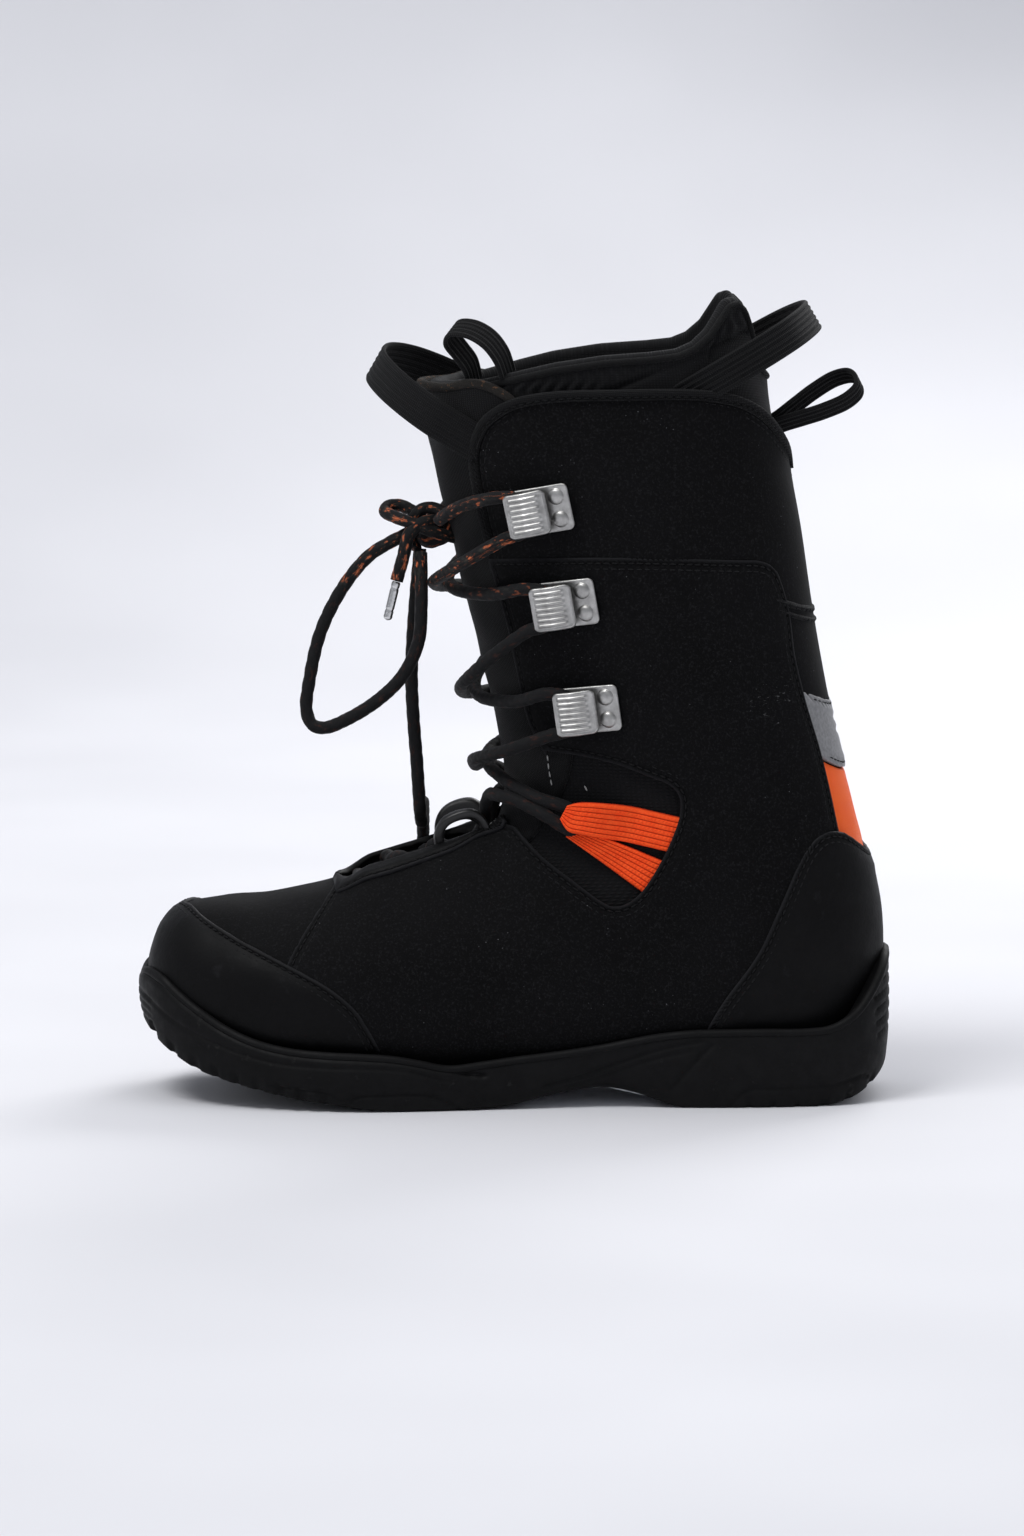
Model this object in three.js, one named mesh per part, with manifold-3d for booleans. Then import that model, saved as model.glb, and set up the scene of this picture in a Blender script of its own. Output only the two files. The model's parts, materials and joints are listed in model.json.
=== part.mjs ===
// Snowboard boot: a left boot, toe towards -X, heel towards +X, outer (lateral) side towards -Y.
// Millimetres, +Z up. The origin is on the ground, under the middle of the sole.
import * as THREE from 'three';
import { mergeVertices } from 'three/addons/utils/BufferGeometryUtils.js';
import Module from 'manifold-3d';

const wasm = await Module();
wasm.setup();

// ---- driving dimensions ----
const GAP = 0.4;                 // clearance between neighbouring pieces
const SHELL_THICK = 2.4;         // leather and softshell panels
const LINING_THICK = 1.2;        // fabric inside the shell
const LINER_THICK = 6.5;         // foam liner wall
const BOARD_THICK = 3.6;         // lasting board under the liner
const FOOTBED_THICK = 3.5;
const LACE_D = 5.2;              // round lace
const AGLET_D = 3.6;
const AGLET_LENGTH = 16;
const HOOK_METAL = 1.2;          // stamped steel
const HOOK_CHANNEL = 6.2;        // room for the lace behind the folded flap
const HOOK_LENGTH = 25;
const HOOK_HEIGHT = 18;
const HOOK_FLAP = 15;
const HOOK_NECK = 8.4;           // width of the neck that joins the flap to the base
const HOOK_NECK_IN = 2;          // how far the neck stands behind the flap's front edge
const HOOK_CORNER = 2.4;
const RIVET_R = 2.6;
const RIVET_HEIGHT = 1.6;        // dome of a rivet above the base plate
const RIVET_SPREAD = 4.6;        // each rivet's distance from the hook's middle line
const RIVET_IN = 5.2;            // and from the rear edge of the base plate
const STRAP_THICK = 2.0;         // sewn webbing
const EYESTAY_THICK = 2;         // strip sewn over the edge of the lower lacing
const GUIDE_WIDTH = 6;           // arches of the lower lacing
const BADGE_LOW = 134.3;         // lower and upper edges of the badge on the back
const BADGE_HIGH = 163;
const LINER_TONGUE_HALF = 27;    // half width of the liner's own tongue
const CAVITY_FROM = 1.4;         // where along the body the room for the foot starts
const HEM = 4;                   // bound top edge of the cuff
const HEM_PROUD = 0.8;
const PIVOT = [72, 100];         // ankle flex axis, x and z
const LOWER_LINE_DEG = 8;        // slope of the lower edge of the flex wedge
const UPPER_LINE_DEG = 20;       // slope of its upper edge: 12 degrees of room for 10 of flex
const RINGS = 20;                // rings along the boot body
const RING_SPREAD = 1.15;        // the rings stand closer together at the toe
const AROUND = 16;               // facets round it
const REACH = 220;               // longer than the boot is wide, for cutting prisms

// ---- the body of the boot ----
// Each station is a flat section: its front or top point, its back or bottom point (x, z), its half
// width, the sideways place of its middle, where along it the widest point lies, and how square it is.
const STATIONS = [
  [-147.5, 50, -147.5, 50, 0, 7, 0.40, 2.2, 2.2],
  [-146, 58, -146.5, 43, 14, 7, 0.38, 2.3, 2.2],
  [-141.5, 69, -142, 36, 26, 6.5, 0.36, 2.5, 2.2],
  [-132, 76.3, -132, 29.5, 36.5, 5.5, 0.34, 2.7, 2.2],
  [-118, 79, -116, 23, 44, 4, 0.32, 2.9, 2.2],
  [-98, 81, -96, 18, 50, 2, 0.30, 3, 2.2],
  [-74, 86.5, -70, 15, 53, 0.5, 0.30, 3, 2.2],
  [-50, 94, -42, 13.5, 52.5, 0, 0.31, 3, 2.2],
  [-28, 101.5, -10, 12.5, 50, 0, 0.33, 2.9, 2.2],
  [-11, 109, 28, 12, 48, 0, 0.36, 2.8, 2.2],
  [-6, 120, 70, 12, 46.5, 0, 0.39, 2.6, 2.2],
  [-5.5, 133, 110, 12.5, 44.5, 0, 0.42, 2.5, 2.2],
  [-8.5, 150, 135, 18, 43.5, 0, 0.44, 2.4, 2.2],
  [-13, 170, 146, 42, 44, 0, 0.45, 2.35, 2.2],
  [-18, 190, 147, 73, 45, 0, 0.46, 2.3, 2.2],
  [-22.5, 208, 141, 103, 46.5, 0, 0.46, 2.3, 2.2],
  [-26.5, 225, 133.5, 133, 48.5, 0, 0.46, 2.3, 2.2],
  [-30, 241, 126.5, 163, 50.5, 0, 0.46, 2.3, 2.2],
  [-33.5, 255, 120, 196, 52, 0, 0.46, 2.3, 2.2],
  [-36.5, 267, 115, 230, 53, 0, 0.46, 2.3, 2.2],
  [-38.5, 278, 110, 260, 53.5, 0, 0.46, 2.3, 2.2],
  [-40.5, 294, 106, 290, 54, 0, 0.46, 2.3, 2.2],
  [-43, 332, 101, 334, 54, 0, 0.46, 2.3, 2.2],
];
const LAST = STATIONS.length - 1;

function station(v) {
  // Catmull-Rom through the stations.
  const i = Math.min(Math.max(Math.floor(v), 0), LAST - 1);
  const f = v - i;
  const rows = [-1, 0, 1, 2].map((k) => STATIONS[Math.min(Math.max(i + k, 0), LAST)]);
  return rows[0].map((_, c) => {
    const [a, b, d, e] = rows.map((row) => row[c]);
    return b + 0.5 * f * (d - a + f * (2 * a - 5 * b + 4 * d - e + f * (3 * (b - d) + e - a)));
  });
}

function skinPoint(v, t) {
  // t runs from 0 at the back or bottom to pi at the front or top; its sign is the side.
  const [fx, fz, bx, bz, half, mid, peak, low, high] = station(v);
  const c = Math.cos(t);
  const n = c > 0 ? low : high;
  const reach = Math.pow(Math.abs(c), 2 / n);
  const s = c > 0 ? peak * (1 - reach) : peak + (1 - peak) * reach;
  const y = mid + half * Math.sign(t) * Math.pow(Math.abs(Math.sin(t)), 2 / n);
  return new THREE.Vector3(bx + (fx - bx) * s, y, bz + (fz - bz) * s);
}

function skinNormal(v, t) {
  const dv = 0.05;
  const dt = 0.02;
  const v0 = Math.max(v - dv, 0.02);
  const v1 = Math.min(v + dv, LAST);
  const across = skinPoint(v, t + dt).sub(skinPoint(v, t - dt));
  const along = skinPoint(v1, t).sub(skinPoint(v0, t));
  return across.cross(along).normalize();
}

function bodyPoint(v, t, offset) {
  if (v < 0.02) return new THREE.Vector3(STATIONS[0][0] - offset, STATIONS[0][5], STATIONS[0][1]);
  return skinPoint(v, t).addScaledVector(skinNormal(v, t), offset);
}

function locate(x, z, side) {
  // The place (v, t) on the body whose side view is (x, z).
  const cross = (v) => {
    const [fx, fz, bx, bz] = station(v);
    return (fx - bx) * (z - bz) - (fz - bz) * (x - bx);
  };
  let low = 0.05;
  let high = LAST;
  for (let i = 0; i < 50; i++) {
    const mid = (low + high) / 2;
    if (cross(mid) > 0) high = mid;
    else low = mid;
  }
  const [fx, fz, bx, bz, , , peak, nLow, nHigh] = station(low);
  const length2 = (fx - bx) ** 2 + (fz - bz) ** 2;
  const s = Math.min(Math.max(((x - bx) * (fx - bx) + (z - bz) * (fz - bz)) / length2, 0), 1);
  const c = s < peak ? Math.pow(1 - s / peak, nLow / 2) : -Math.pow((s - peak) / (1 - peak), nHigh / 2);
  return [low, side * Math.acos(c)];
}

function onBody(x, z, side, offset) {
  const [v, t] = locate(x, z, side);
  return bodyPoint(v, t, offset);
}

// ---- solids ----
function solid(geometry) {
  const plain = geometry.clone();
  plain.deleteAttribute('normal');
  plain.deleteAttribute('uv');
  const merged = mergeVertices(plain, 1e-4);
  return new wasm.Manifold(new wasm.Mesh({
    numProp: 3,
    vertProperties: new Float32Array(merged.attributes.position.array),
    triVerts: new Uint32Array(merged.index.array),
  }));
}

function geometryOf(shape) {
  const mesh = shape.getMesh();
  const geometry = new THREE.BufferGeometry();
  geometry.setAttribute('position', new THREE.BufferAttribute(mesh.vertProperties.slice(), 3));
  geometry.setIndex(new THREE.BufferAttribute(mesh.triVerts.slice(), 1));
  const faceted = geometry.toNonIndexed();
  faceted.computeVertexNormals();
  return faceted;
}

function loft(rings, first, last) {
  // Closed rings of equal length, closed at both ends by a point.
  const n = rings[0].length;
  const points = [first, ...rings.flat(), last];
  const triangles = [];
  const at = (r, k) => 1 + r * n + (k % n);
  for (let k = 0; k < n; k++) {
    triangles.push(0, at(0, k), at(0, k + 1));
    for (let r = 0; r + 1 < rings.length; r++) {
      triangles.push(at(r, k), at(r + 1, k), at(r + 1, k + 1));
      triangles.push(at(r, k), at(r + 1, k + 1), at(r, k + 1));
    }
    triangles.push(points.length - 1, at(rings.length - 1, k + 1), at(rings.length - 1, k));
  }
  let volume = 0;
  for (let i = 0; i < triangles.length; i += 3) {
    const [a, b, c] = [0, 1, 2].map((j) => points[triangles[i + j]]);
    volume += a.clone().cross(b).dot(c);
  }
  if (volume < 0) triangles.reverse();
  const geometry = new THREE.BufferGeometry();
  geometry.setAttribute('position', new THREE.Float32BufferAttribute(points.flatMap((p) => p.toArray()), 3));
  geometry.setIndex(triangles);
  return geometry;
}

function middle(ring) {
  return ring.reduce((sum, p) => sum.add(p), new THREE.Vector3()).divideScalar(ring.length);
}

function bodySolid(offset, from = 0) {
  // The whole boot body, grown or shrunk by offset.
  const rings = [];
  for (let i = 0; i < RINGS; i++) {
    const u = (i + 1) / RINGS;
    const v = from + (LAST - from) * Math.pow(u, RING_SPREAD);
    const ring = [];
    for (let k = 0; k < AROUND; k++) {
      ring.push(bodyPoint(v, Math.PI * (1 - (2 * (k + 0.5)) / AROUND), offset));
    }
    rings.push(ring);
  }
  const tip = from > 0 ? middle(rings[0]) : bodyPoint(0, 0, offset);
  return solid(loft(rings, tip, middle(rings[RINGS - 1])));
}

function prism(outline, y0 = -REACH / 2, y1 = REACH / 2) {
  // An outline of the side view, as thick as y0 to y1.
  const shape = new THREE.Shape(outline.map(([x, z]) => new THREE.Vector2(x, z)));
  const geometry = new THREE.ExtrudeGeometry(shape, { depth: y1 - y0, bevelEnabled: false });
  geometry.rotateX(Math.PI / 2);
  geometry.translate(0, y1, 0);
  return solid(geometry);
}

const LATERAL = -1;
const MEDIAL = 1;
const SIDES = [['lateral', LATERAL], ['medial', MEDIAL]];

function half(side) {
  const edge = [[-REACH, -REACH], [REACH, -REACH], [REACH, 2 * REACH], [-REACH, 2 * REACH]];
  return side === LATERAL ? prism(edge, -REACH, -GAP / 2) : prism(edge, GAP / 2, REACH);
}

function shifted(outline, dx, dz) {
  return outline.map(([x, z]) => [x + dx, z + dz]);
}

const body = new THREE.Group();

function addMesh(name, geometry, colour, roughness, metalness = 0) {
  const material = new THREE.MeshStandardMaterial({ color: colour, roughness, metalness });
  const mesh = new THREE.Mesh(geometry, material);
  mesh.name = name;
  body.add(mesh);
  return mesh;
}

const addSolid = (name, shape, ...finish) => addMesh(name, geometryOf(shape), ...finish);

const SOFTSHELL = [0x141416, 0.85];
const LEATHER = [0x1a1a1c, 0.6];
const RUBBER = [0x111112, 0.75];
const FABRIC = [0x0c0c0d, 0.9];
const FOAM = [0x101012, 0.9];
const ORANGE = [0xff5a14, 0.8];
const STEEL = [0xa6a6a4, 0.35, 0.9];
const WEBBING = [0x151515, 0.8];

// ---- side view lines ----
const TAN_LOWER = Math.tan(THREE.MathUtils.degToRad(LOWER_LINE_DEG));
const TAN_UPPER = Math.tan(THREE.MathUtils.degToRad(UPPER_LINE_DEG));
const FRONT = -REACH;
const lowerLine = (x) => PIVOT[1] + (PIVOT[0] - x) * TAN_LOWER;
const upperLine = (x) => PIVOT[1] + (PIVOT[0] - x) * TAN_UPPER;
const BREAK_BACK = [[90, 104], [112, 111.5], [124, 114], [131, 112.5], [142, 103.5], [REACH, 101]];
const BELOW_BREAK = [
  [FRONT, -10], [REACH, -10], ...BREAK_BACK.slice().reverse(), PIVOT, [FRONT, lowerLine(FRONT)],
];
const ABOVE_BREAK = [
  [FRONT, upperLine(FRONT)], shifted([PIVOT], 0, GAP)[0], ...shifted(BREAK_BACK, 0, GAP),
  [REACH, 2 * REACH], [FRONT, 2 * REACH],
];
const FLEX_WEDGE = [
  [FRONT, lowerLine(FRONT) + GAP], [PIVOT[0] - 6, lowerLine(PIVOT[0] - 6) + GAP],
  [PIVOT[0] - 6, upperLine(PIVOT[0] - 6) - GAP], [FRONT, upperLine(FRONT) - GAP],
];
const TOE_CAP_EDGE = [
  [-136, 95], [-134, 76], [-123, 71], [-103, 62.5], [-90.5, 58.5], [-74.5, 49.7], [-64.4, 43.6],
  [-58.4, 35.6], [-52.3, 23.4], [-50, -10],
];
const TOE_BOX_SEAM = [[-71, 110], [-74.5, 85], [-78.6, 79], [-86.7, 68.5], [-94, 60]];
const COUNTER_EDGE = [
  [70, -10], [75.8, 32.3], [87, 47.7], [99.2, 65.9], [109.3, 88], [115.3, 102.2], [121.4, 109],
  [129.5, 110.3], [142, 101.5], [170, 99],
];
const EYESTAY_EDGE = [[-74, 110], [-71, 86], [-60, 87.6], [-40, 93.6], [-20, 101.2], [-3.8, 110.8]];
const CUT_OUT = [
  [12.7, 142.6], [27.7, 141], [40.6, 138.2], [54, 133.3], [62.4, 129.7], [65.7, 125.2], [65.7, 117.2],
  [63.2, 109.5], [58, 98.2], [50.3, 86.5], [44.2, 82], [39, 81.2], [34.5, 83.2], [23.2, 91.3],
  [10.7, 100.6], [0.2, 111.1], [-3.8, 114.3],
];
const SHAFT_FRONT = [[12.3, 140], [6.3, 152.7], [2.2, 168.9], [-1.8, 189], [-6, 205], [-10, 219]];
const CUFF_FRONT = [[-10, 219], [-14.7, 237.6], [-18, 257.8], [-17, 268]];
const CUFF_TOP = [
  [-14, 274], [-4, 283], [12.3, 286.8], [42.6, 288], [75, 287.6], [91, 284], [103, 276], [111, 263],
  [130, 255],
];
const PANEL_BACK = [
  [97.2, 219.4], [105.2, 211.3], [109.3, 197.2], [111.3, 181], [115.3, 164.8], [121.4, 144.6],
  [125.4, 128.5], [129.5, 110.3],
];
const FAR_FRONT = [[-REACH, 2 * REACH], [-REACH, -10]];

// ---- layers ----
const outer = bodySolid(0);
const shell = outer.subtract(bodySolid(-SHELL_THICK));
const liningOut = SHELL_THICK + GAP;
const lining = bodySolid(-liningOut).subtract(bodySolid(-liningOut - LINING_THICK));
const linerOut = liningOut + LINING_THICK + GAP;
const linerIn = linerOut + LINER_THICK;
const cavity = bodySolid(-linerIn, CAVITY_FROM);
const liner = bodySolid(-linerOut).subtract(cavity);

const belowBreak = prism(BELOW_BREAK);
const aboveBreak = prism(ABOVE_BREAK);
const flexWedge = prism(FLEX_WEDGE);

function floorLine(rise) {
  // The bottom profile of the body, raised, from toe to heel.
  const points = [];
  for (let v = 1; v <= 12; v++) {
    const [, , bx, bz] = station(v);
    points.push([bx, bz + rise]);
  }
  return points;
}

function underFloor(rise) {
  const line = floorLine(rise);
  return prism([[-REACH, 43 + rise], ...line, [REACH, 18 + rise], [REACH, -10], [-REACH, -10]]);
}

const boardZone = underFloor(BOARD_THICK);
const boardCut = underFloor(BOARD_THICK + GAP);

// ---- sole unit ----
// x, half width, bottom z, top z, sideways place of the middle
const SOLE = [
  [-152.4, 5, 34, 48, 7], [-150.5, 17, 30, 52, 7], [-143, 33, 23, 51, 6.5], [-128, 44.5, 14.5, 40, 5.2],
  [-104, 53, 8, 28, 2.5], [-75, 57, 3, 24.2, 0.5], [-48, 56.5, 0, 22.6, 0], [-26, 53.5, 0, 19, 0],
  [0, 50.5, 2, 21.4, 0], [18, 49, 6.8, 23.5, 0], [36, 48, 8.2, 25.8, 0], [56, 47.5, 3.6, 29.5, 0],
  [72, 47, 0, 31.8, 0], [100, 46, 0, 32, 0], [125, 42.5, 0, 32.2, 0], [138, 37.5, 2.6, 37.5, 0],
  [146, 29.5, 7, 48, 0], [150.8, 18, 12, 56.5, 0], [152.4, 6, 17, 60, 0],
];

function soleRow(x) {
  const i = Math.min(SOLE.findIndex((row) => row[0] > x), SOLE.length - 1);
  const [a, b] = [SOLE[i - 1], SOLE[i]];
  const f = (x - a[0]) / (b[0] - a[0]);
  return a.map((value, c) => value + f * (b[c] - value));
}

function soleRing([x, wide, low, high, mid], inset = 0) {
  const chamfer = Math.min(4, wide / 3);
  const w = wide - inset;
  const right = [
    [w - chamfer, low], [w - 0.8, low + 3.5], [w, (low + high) / 2], [w - 1.6, high],
  ];
  const left = right.map(([y, z]) => [-y, z]).reverse();
  return [...right, ...left].map(([y, z]) => new THREE.Vector3(x, mid + y, z));
}

function makeSole() {
  const rings = SOLE.map((row) => soleRing(row));
  const block = solid(loft(rings, middle(rings[0]), middle(rings[rings.length - 1])));
  return block.subtract(bodySolid(GAP));
}

function pad(x0, x1, depth, side = 0) {
  // A tread pad let into the underside: a slab that follows the sole between x0 and x1.
  const steps = 8;
  const inset = 7;
  const rings = [];
  for (let i = 0; i <= steps; i++) {
    const [x, wide, low, , mid] = soleRow(x0 + ((x1 - x0) * i) / steps);
    const w = wide - inset + side;
    const z0 = low - 0.001 - side;
    const z1 = low + depth + side;
    rings.push([[w, z0], [w, z1], [-w, z1], [-w, z0]].map(([y, z]) => new THREE.Vector3(x, mid + y, z)));
  }
  rings[0].forEach((p) => { p.x -= side; });
  rings[steps].forEach((p) => { p.x += side; });
  return solid(loft(rings, middle(rings[0]), middle(rings[steps])));
}

const PADS = [
  ['outsole_toe_pad', -140, -92, 3],
  ['outsole_forefoot_pad', -88, -14, 3.5],
  ['outsole_heel_pad', 72, 128, 3.5],
];
const SHANK = [2, 58, 2.4];
const CUSHION = [84, 134, 5.5, 16];       // first and last x, lowest and highest z
const CUSHION_HALF = 30;

function cushionBlock(grow) {
  // The foam block under the heel, or with some growth the pocket for it.
  const [x0, x1, z0, z1] = CUSHION;
  const outline = [[x0 - grow, z0 - grow], [x1 + grow, z0 - grow], [x1 + grow, z1], [x0 - grow, z1]];
  return prism(outline, -CUSHION_HALF - grow, CUSHION_HALF + grow);
}

function addSoleUnit() {
  let cup = makeSole();
  const aboveGround = prism([[-REACH, 0], [REACH, 0], [REACH, REACH], [-REACH, REACH]]);
  for (const [name, x0, x1, depth] of PADS) {
    cup = cup.subtract(pad(x0, x1, depth, GAP));
    addSolid(name, pad(x0, x1, depth).intersect(aboveGround), ...RUBBER);
  }
  const [s0, s1, deep] = SHANK;
  cup = cup.subtract(pad(s0, s1, deep, GAP));
  addSolid('arch_shank', pad(s0, s1, deep), 0x8f9396, 0.5);
  const cushion = cushionBlock(0).subtract(bodySolid(GAP));
  cup = cup.subtract(cushionBlock(GAP));
  addSolid('heel_cushion', cushion, 0x4a5560, 0.7);
  addSolid('midsole_cup', cup, ...RUBBER);
  addSolid('lasting_board', outer.intersect(boardZone), 0x6d6250, 0.9);
}

// ---- lower shell ----
function addLowerShell() {
  const lower = shell.subtract(boardCut).intersect(belowBreak);
  const capZone = prism([...TOE_CAP_EDGE, [-REACH, -10], [-REACH, 95]]);
  const capCut = prism([...shifted(TOE_CAP_EDGE, GAP, GAP), [-REACH, -10], [-REACH, 95 + GAP]]);
  const boxZone = prism([...TOE_BOX_SEAM, [-94, -10], [-REACH, -10], [-REACH, 110]]);
  const boxCut = prism([...shifted(TOE_BOX_SEAM, GAP, 0), [-94 + GAP, -10], [-REACH, -10], [-REACH, 110]]);
  const counterZone = prism([...COUNTER_EDGE, [170, -10]]);
  const counterCut = prism([...shifted(COUNTER_EDGE, -GAP, GAP), [170, -10]]);
  addSolid('toe_cap', lower.intersect(capZone), ...LEATHER);
  addSolid('toe_box_panel', lower.subtract(capCut).intersect(boxZone), ...SOFTSHELL);
  addSolid('heel_counter', lower.intersect(counterZone), ...LEATHER);
  const slot = prism([...EYESTAY_EDGE, [40, lowerLine(40) + 5], [40, REACH], [-74, REACH]]);
  const cutOut = prism(CUT_OUT);
  const open = lower.subtract(capCut).subtract(boxCut).subtract(counterCut).subtract(slot).subtract(cutOut);
  for (const [name, side] of SIDES) {
    addSolid('quarter_' + name, open.intersect(half(side)), ...SOFTSHELL);
  }
  const bar = prism([
    ...shifted(EYESTAY_EDGE.slice(1), 0, 0.6), ...shifted(EYESTAY_EDGE.slice(1), 1, -4.2).reverse(),
  ]);
  const strip = bodySolid(GAP + EYESTAY_THICK).subtract(bodySolid(GAP)).intersect(bar).intersect(belowBreak);
  for (const [name, side] of SIDES) {
    addSolid('eyestay_' + name, strip.intersect(half(side)), ...LEATHER);
  }
}

// ---- tongue and shaft ----
const TONGUE_TOP = [[-17.8, 274.5], [-15.4, 277.5], [-8, 288.5], [-20, 290.5], [-34, 288], [-60, 283]];

function addTongue() {
  const inSlot = prism([
    ...shifted(EYESTAY_EDGE, -GAP, GAP), [-0.5, 116], [11.5, 139], ...shifted(SHAFT_FRONT.slice(1), -GAP, 0),
    ...shifted(CUFF_FRONT.slice(1), -2 * GAP, 0), ...TONGUE_TOP, [-REACH, 200], [-REACH, 110],
  ]);
  const start = EYESTAY_EDGE[1][0];
  const beforeSlot = prism([[-REACH, -10], [start, -10], [start + GAP, 200], [-REACH, 200]]);
  const tongue = shell.intersect(inSlot).subtract(beforeSlot);
  addSolid('tongue_lower', tongue.intersect(belowBreak), ...FABRIC);
  addSolid('tongue_flex', tongue.intersect(flexWedge), ...FABRIC);
  addSolid('tongue_upper', tongue.intersect(aboveBreak), ...FABRIC);
}

function addShaft() {
  const upper = shell.intersect(aboveBreak);
  const front = prism([...FAR_FRONT, [12.3, -10], ...SHAFT_FRONT, ...CUFF_FRONT.slice(1), [-17, 2 * REACH]]);
  const aboveTop = prism([
    [-REACH, 274], ...CUFF_TOP, [REACH, 240], [REACH, 2 * REACH], [-REACH, 2 * REACH],
  ]);
  const shaft = upper.subtract(front).subtract(aboveTop);
  const panelZone = prism([[-REACH, 90], [-REACH, 219.4], ...PANEL_BACK, [131, 90]]);
  const panelCut = prism([
    [-REACH, 90], [-REACH, 219.4 + GAP], ...shifted(PANEL_BACK, GAP, GAP / 2), [131 + GAP, 90],
  ]);
  const cutOut = prism(CUT_OUT);
  const panels = shaft.intersect(panelZone).subtract(cutOut);
  for (const [name, side] of SIDES) {
    addSolid('shaft_panel_' + name, panels.intersect(half(side)), ...SOFTSHELL);
  }
  const rest = shaft.subtract(panelCut);
  const band = (z0, z1) => prism([[0, z0], [REACH, z0], [REACH, z1], [0, z1]]);
  addSolid('back_insert', rest.intersect(band(90, BADGE_LOW)), ...ORANGE);
  addSolid('back_badge', rest.intersect(band(BADGE_LOW + GAP, BADGE_HIGH)), 0x8d8d8f, 0.6);
  const belowHem = prism([
    [-REACH, 90], [-REACH, 270], ...shifted(CUFF_TOP, 0, -HEM), [REACH, 236], [REACH, 90],
  ]);
  const belowHemGap = prism([
    [-REACH, 90], [-REACH, 270 + GAP], ...shifted(CUFF_TOP, 0, GAP - HEM), [REACH, 236 + GAP], [REACH, 90],
  ]);
  addSolid('cuff_wrap', rest.subtract(band(80, BADGE_HIGH + GAP)).intersect(belowHem), ...SOFTSHELL);
  const hem = bodySolid(HEM_PROUD).subtract(bodySolid(-SHELL_THICK)).intersect(aboveBreak);
  addSolid('collar_binding', hem.subtract(front).subtract(aboveTop).subtract(belowHemGap), ...LEATHER);
}

// ---- lining and liner ----
const LINER_TOP = [
  [-60, 288], [-30, 290], [-14, 293], [0, 296], [15, 300], [35, 303], [62, 305], [71, 307.8], [76.6, 312],
  [81, 320], [85, 325.5], [89, 325], [93.5, 317], [96.4, 305], [103, 285], [REACH, 200],
];

function addInside() {
  const low = lining.subtract(boardCut);
  const trim = prism([
    [-REACH, 268], ...shifted(CUFF_TOP, 0, -HEM), [REACH, 236], [REACH, 2 * REACH], [-REACH, 2 * REACH],
  ]);
  addSolid('lining_lower', low.intersect(belowBreak), ...FABRIC);
  addSolid('lining_flex', low.intersect(flexWedge), ...FABRIC);
  addSolid('lining_shaft', low.intersect(aboveBreak).subtract(trim), ...FABRIC);
  const foam = liner.subtract(boardCut);
  const aboveRim = prism([...LINER_TOP, [REACH, 2 * REACH], [-60, 2 * REACH]]);
  addSolid('liner_foot', foam.intersect(belowBreak), ...FOAM);
  addSolid('liner_flex', foam.intersect(flexWedge), ...FOAM);
  const shaft = foam.intersect(aboveBreak).subtract(aboveRim);
  const front = [[-REACH, 0], [40, 0], [40, 2 * REACH], [-REACH, 2 * REACH]];
  const tongueBlock = (grow) => prism(front, -LINER_TONGUE_HALF - grow, LINER_TONGUE_HALF + grow);
  addSolid('liner_tongue', shaft.intersect(tongueBlock(0)), ...FABRIC);
  addSolid('liner_shaft', shaft.subtract(tongueBlock(GAP)), ...FOAM);
  const bed = bodySolid(-linerIn - GAP, CAVITY_FROM).intersect(underFloor(linerIn + GAP + FOOTBED_THICK));
  addSolid('footbed', bed.intersect(belowBreak), 0x5c6b78, 0.8);
}

// ---- ankle harness webbing in the cut-outs ----
const HARNESS = [
  [20.8, 120], [21.5, 113], [24.8, 109], [49.5, 88.5], [57.5, 98], [54, 103.5], [62.3, 110], [64.6, 117],
  [40.6, 121.5], [31.7, 123], [24.8, 122.6],
];

function addHarness() {
  const layer = bodySolid(-GAP).subtract(bodySolid(-SHELL_THICK));
  for (const [name, side] of SIDES) {
    addSolid('ankle_harness_' + name, layer.intersect(prism(HARNESS)).intersect(half(side)), ...ORANGE);
  }
}

// ---- lace hooks ----
const HOOKS = [['top', 11.3, 240.4, 12], ['middle', 21.4, 203.3, 10], ['lower', 30.5, 160.6, 8]];

function surfaceFrame(x, z, side, offset, turnDeg) {
  // A frame on the body: local X back along it, local Y up along it, local Z outwards.
  const [v, t] = locate(x, z, side);
  const out = skinNormal(v, t);
  const back = new THREE.Vector3(Math.cos(THREE.MathUtils.degToRad(turnDeg)), 0,
    Math.sin(THREE.MathUtils.degToRad(turnDeg)));
  back.addScaledVector(out, -back.dot(out)).normalize();
  const up = new THREE.Vector3().crossVectors(out, back).normalize();
  const frame = new THREE.Matrix4().makeBasis(back, up, out);
  frame.setPosition(bodyPoint(v, t, offset));
  return frame;
}

function roundedRectangle(x0, x1, y0, y1, r) {
  const shape = new THREE.Shape();
  const corners = [[x1, y0, -90], [x1, y1, 0], [x0, y1, 90], [x0, y0, 180]];
  for (const [x, y, from] of corners) {
    const cx = x + (x === x1 ? -r : r);
    const cy = y + (y === y1 ? -r : r);
    for (let i = 0; i <= 3; i++) {
      const a = THREE.MathUtils.degToRad(from + 30 * i);
      const px = cx + r * Math.cos(a);
      const py = cy + r * Math.sin(a);
      if (shape.curves.length === 0 && shape.currentPoint.lengthSq() === 0) shape.moveTo(px, py);
      else shape.lineTo(px, py);
    }
  }
  return shape;
}

function hookPlate(x0, x1, level) {
  const outline = roundedRectangle(x0, x1, -HOOK_HEIGHT / 2, HOOK_HEIGHT / 2, HOOK_CORNER);
  const made = new THREE.ExtrudeGeometry(outline, { depth: HOOK_METAL, bevelEnabled: false });
  return solid(made.translate(0, 0, level));
}

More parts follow.
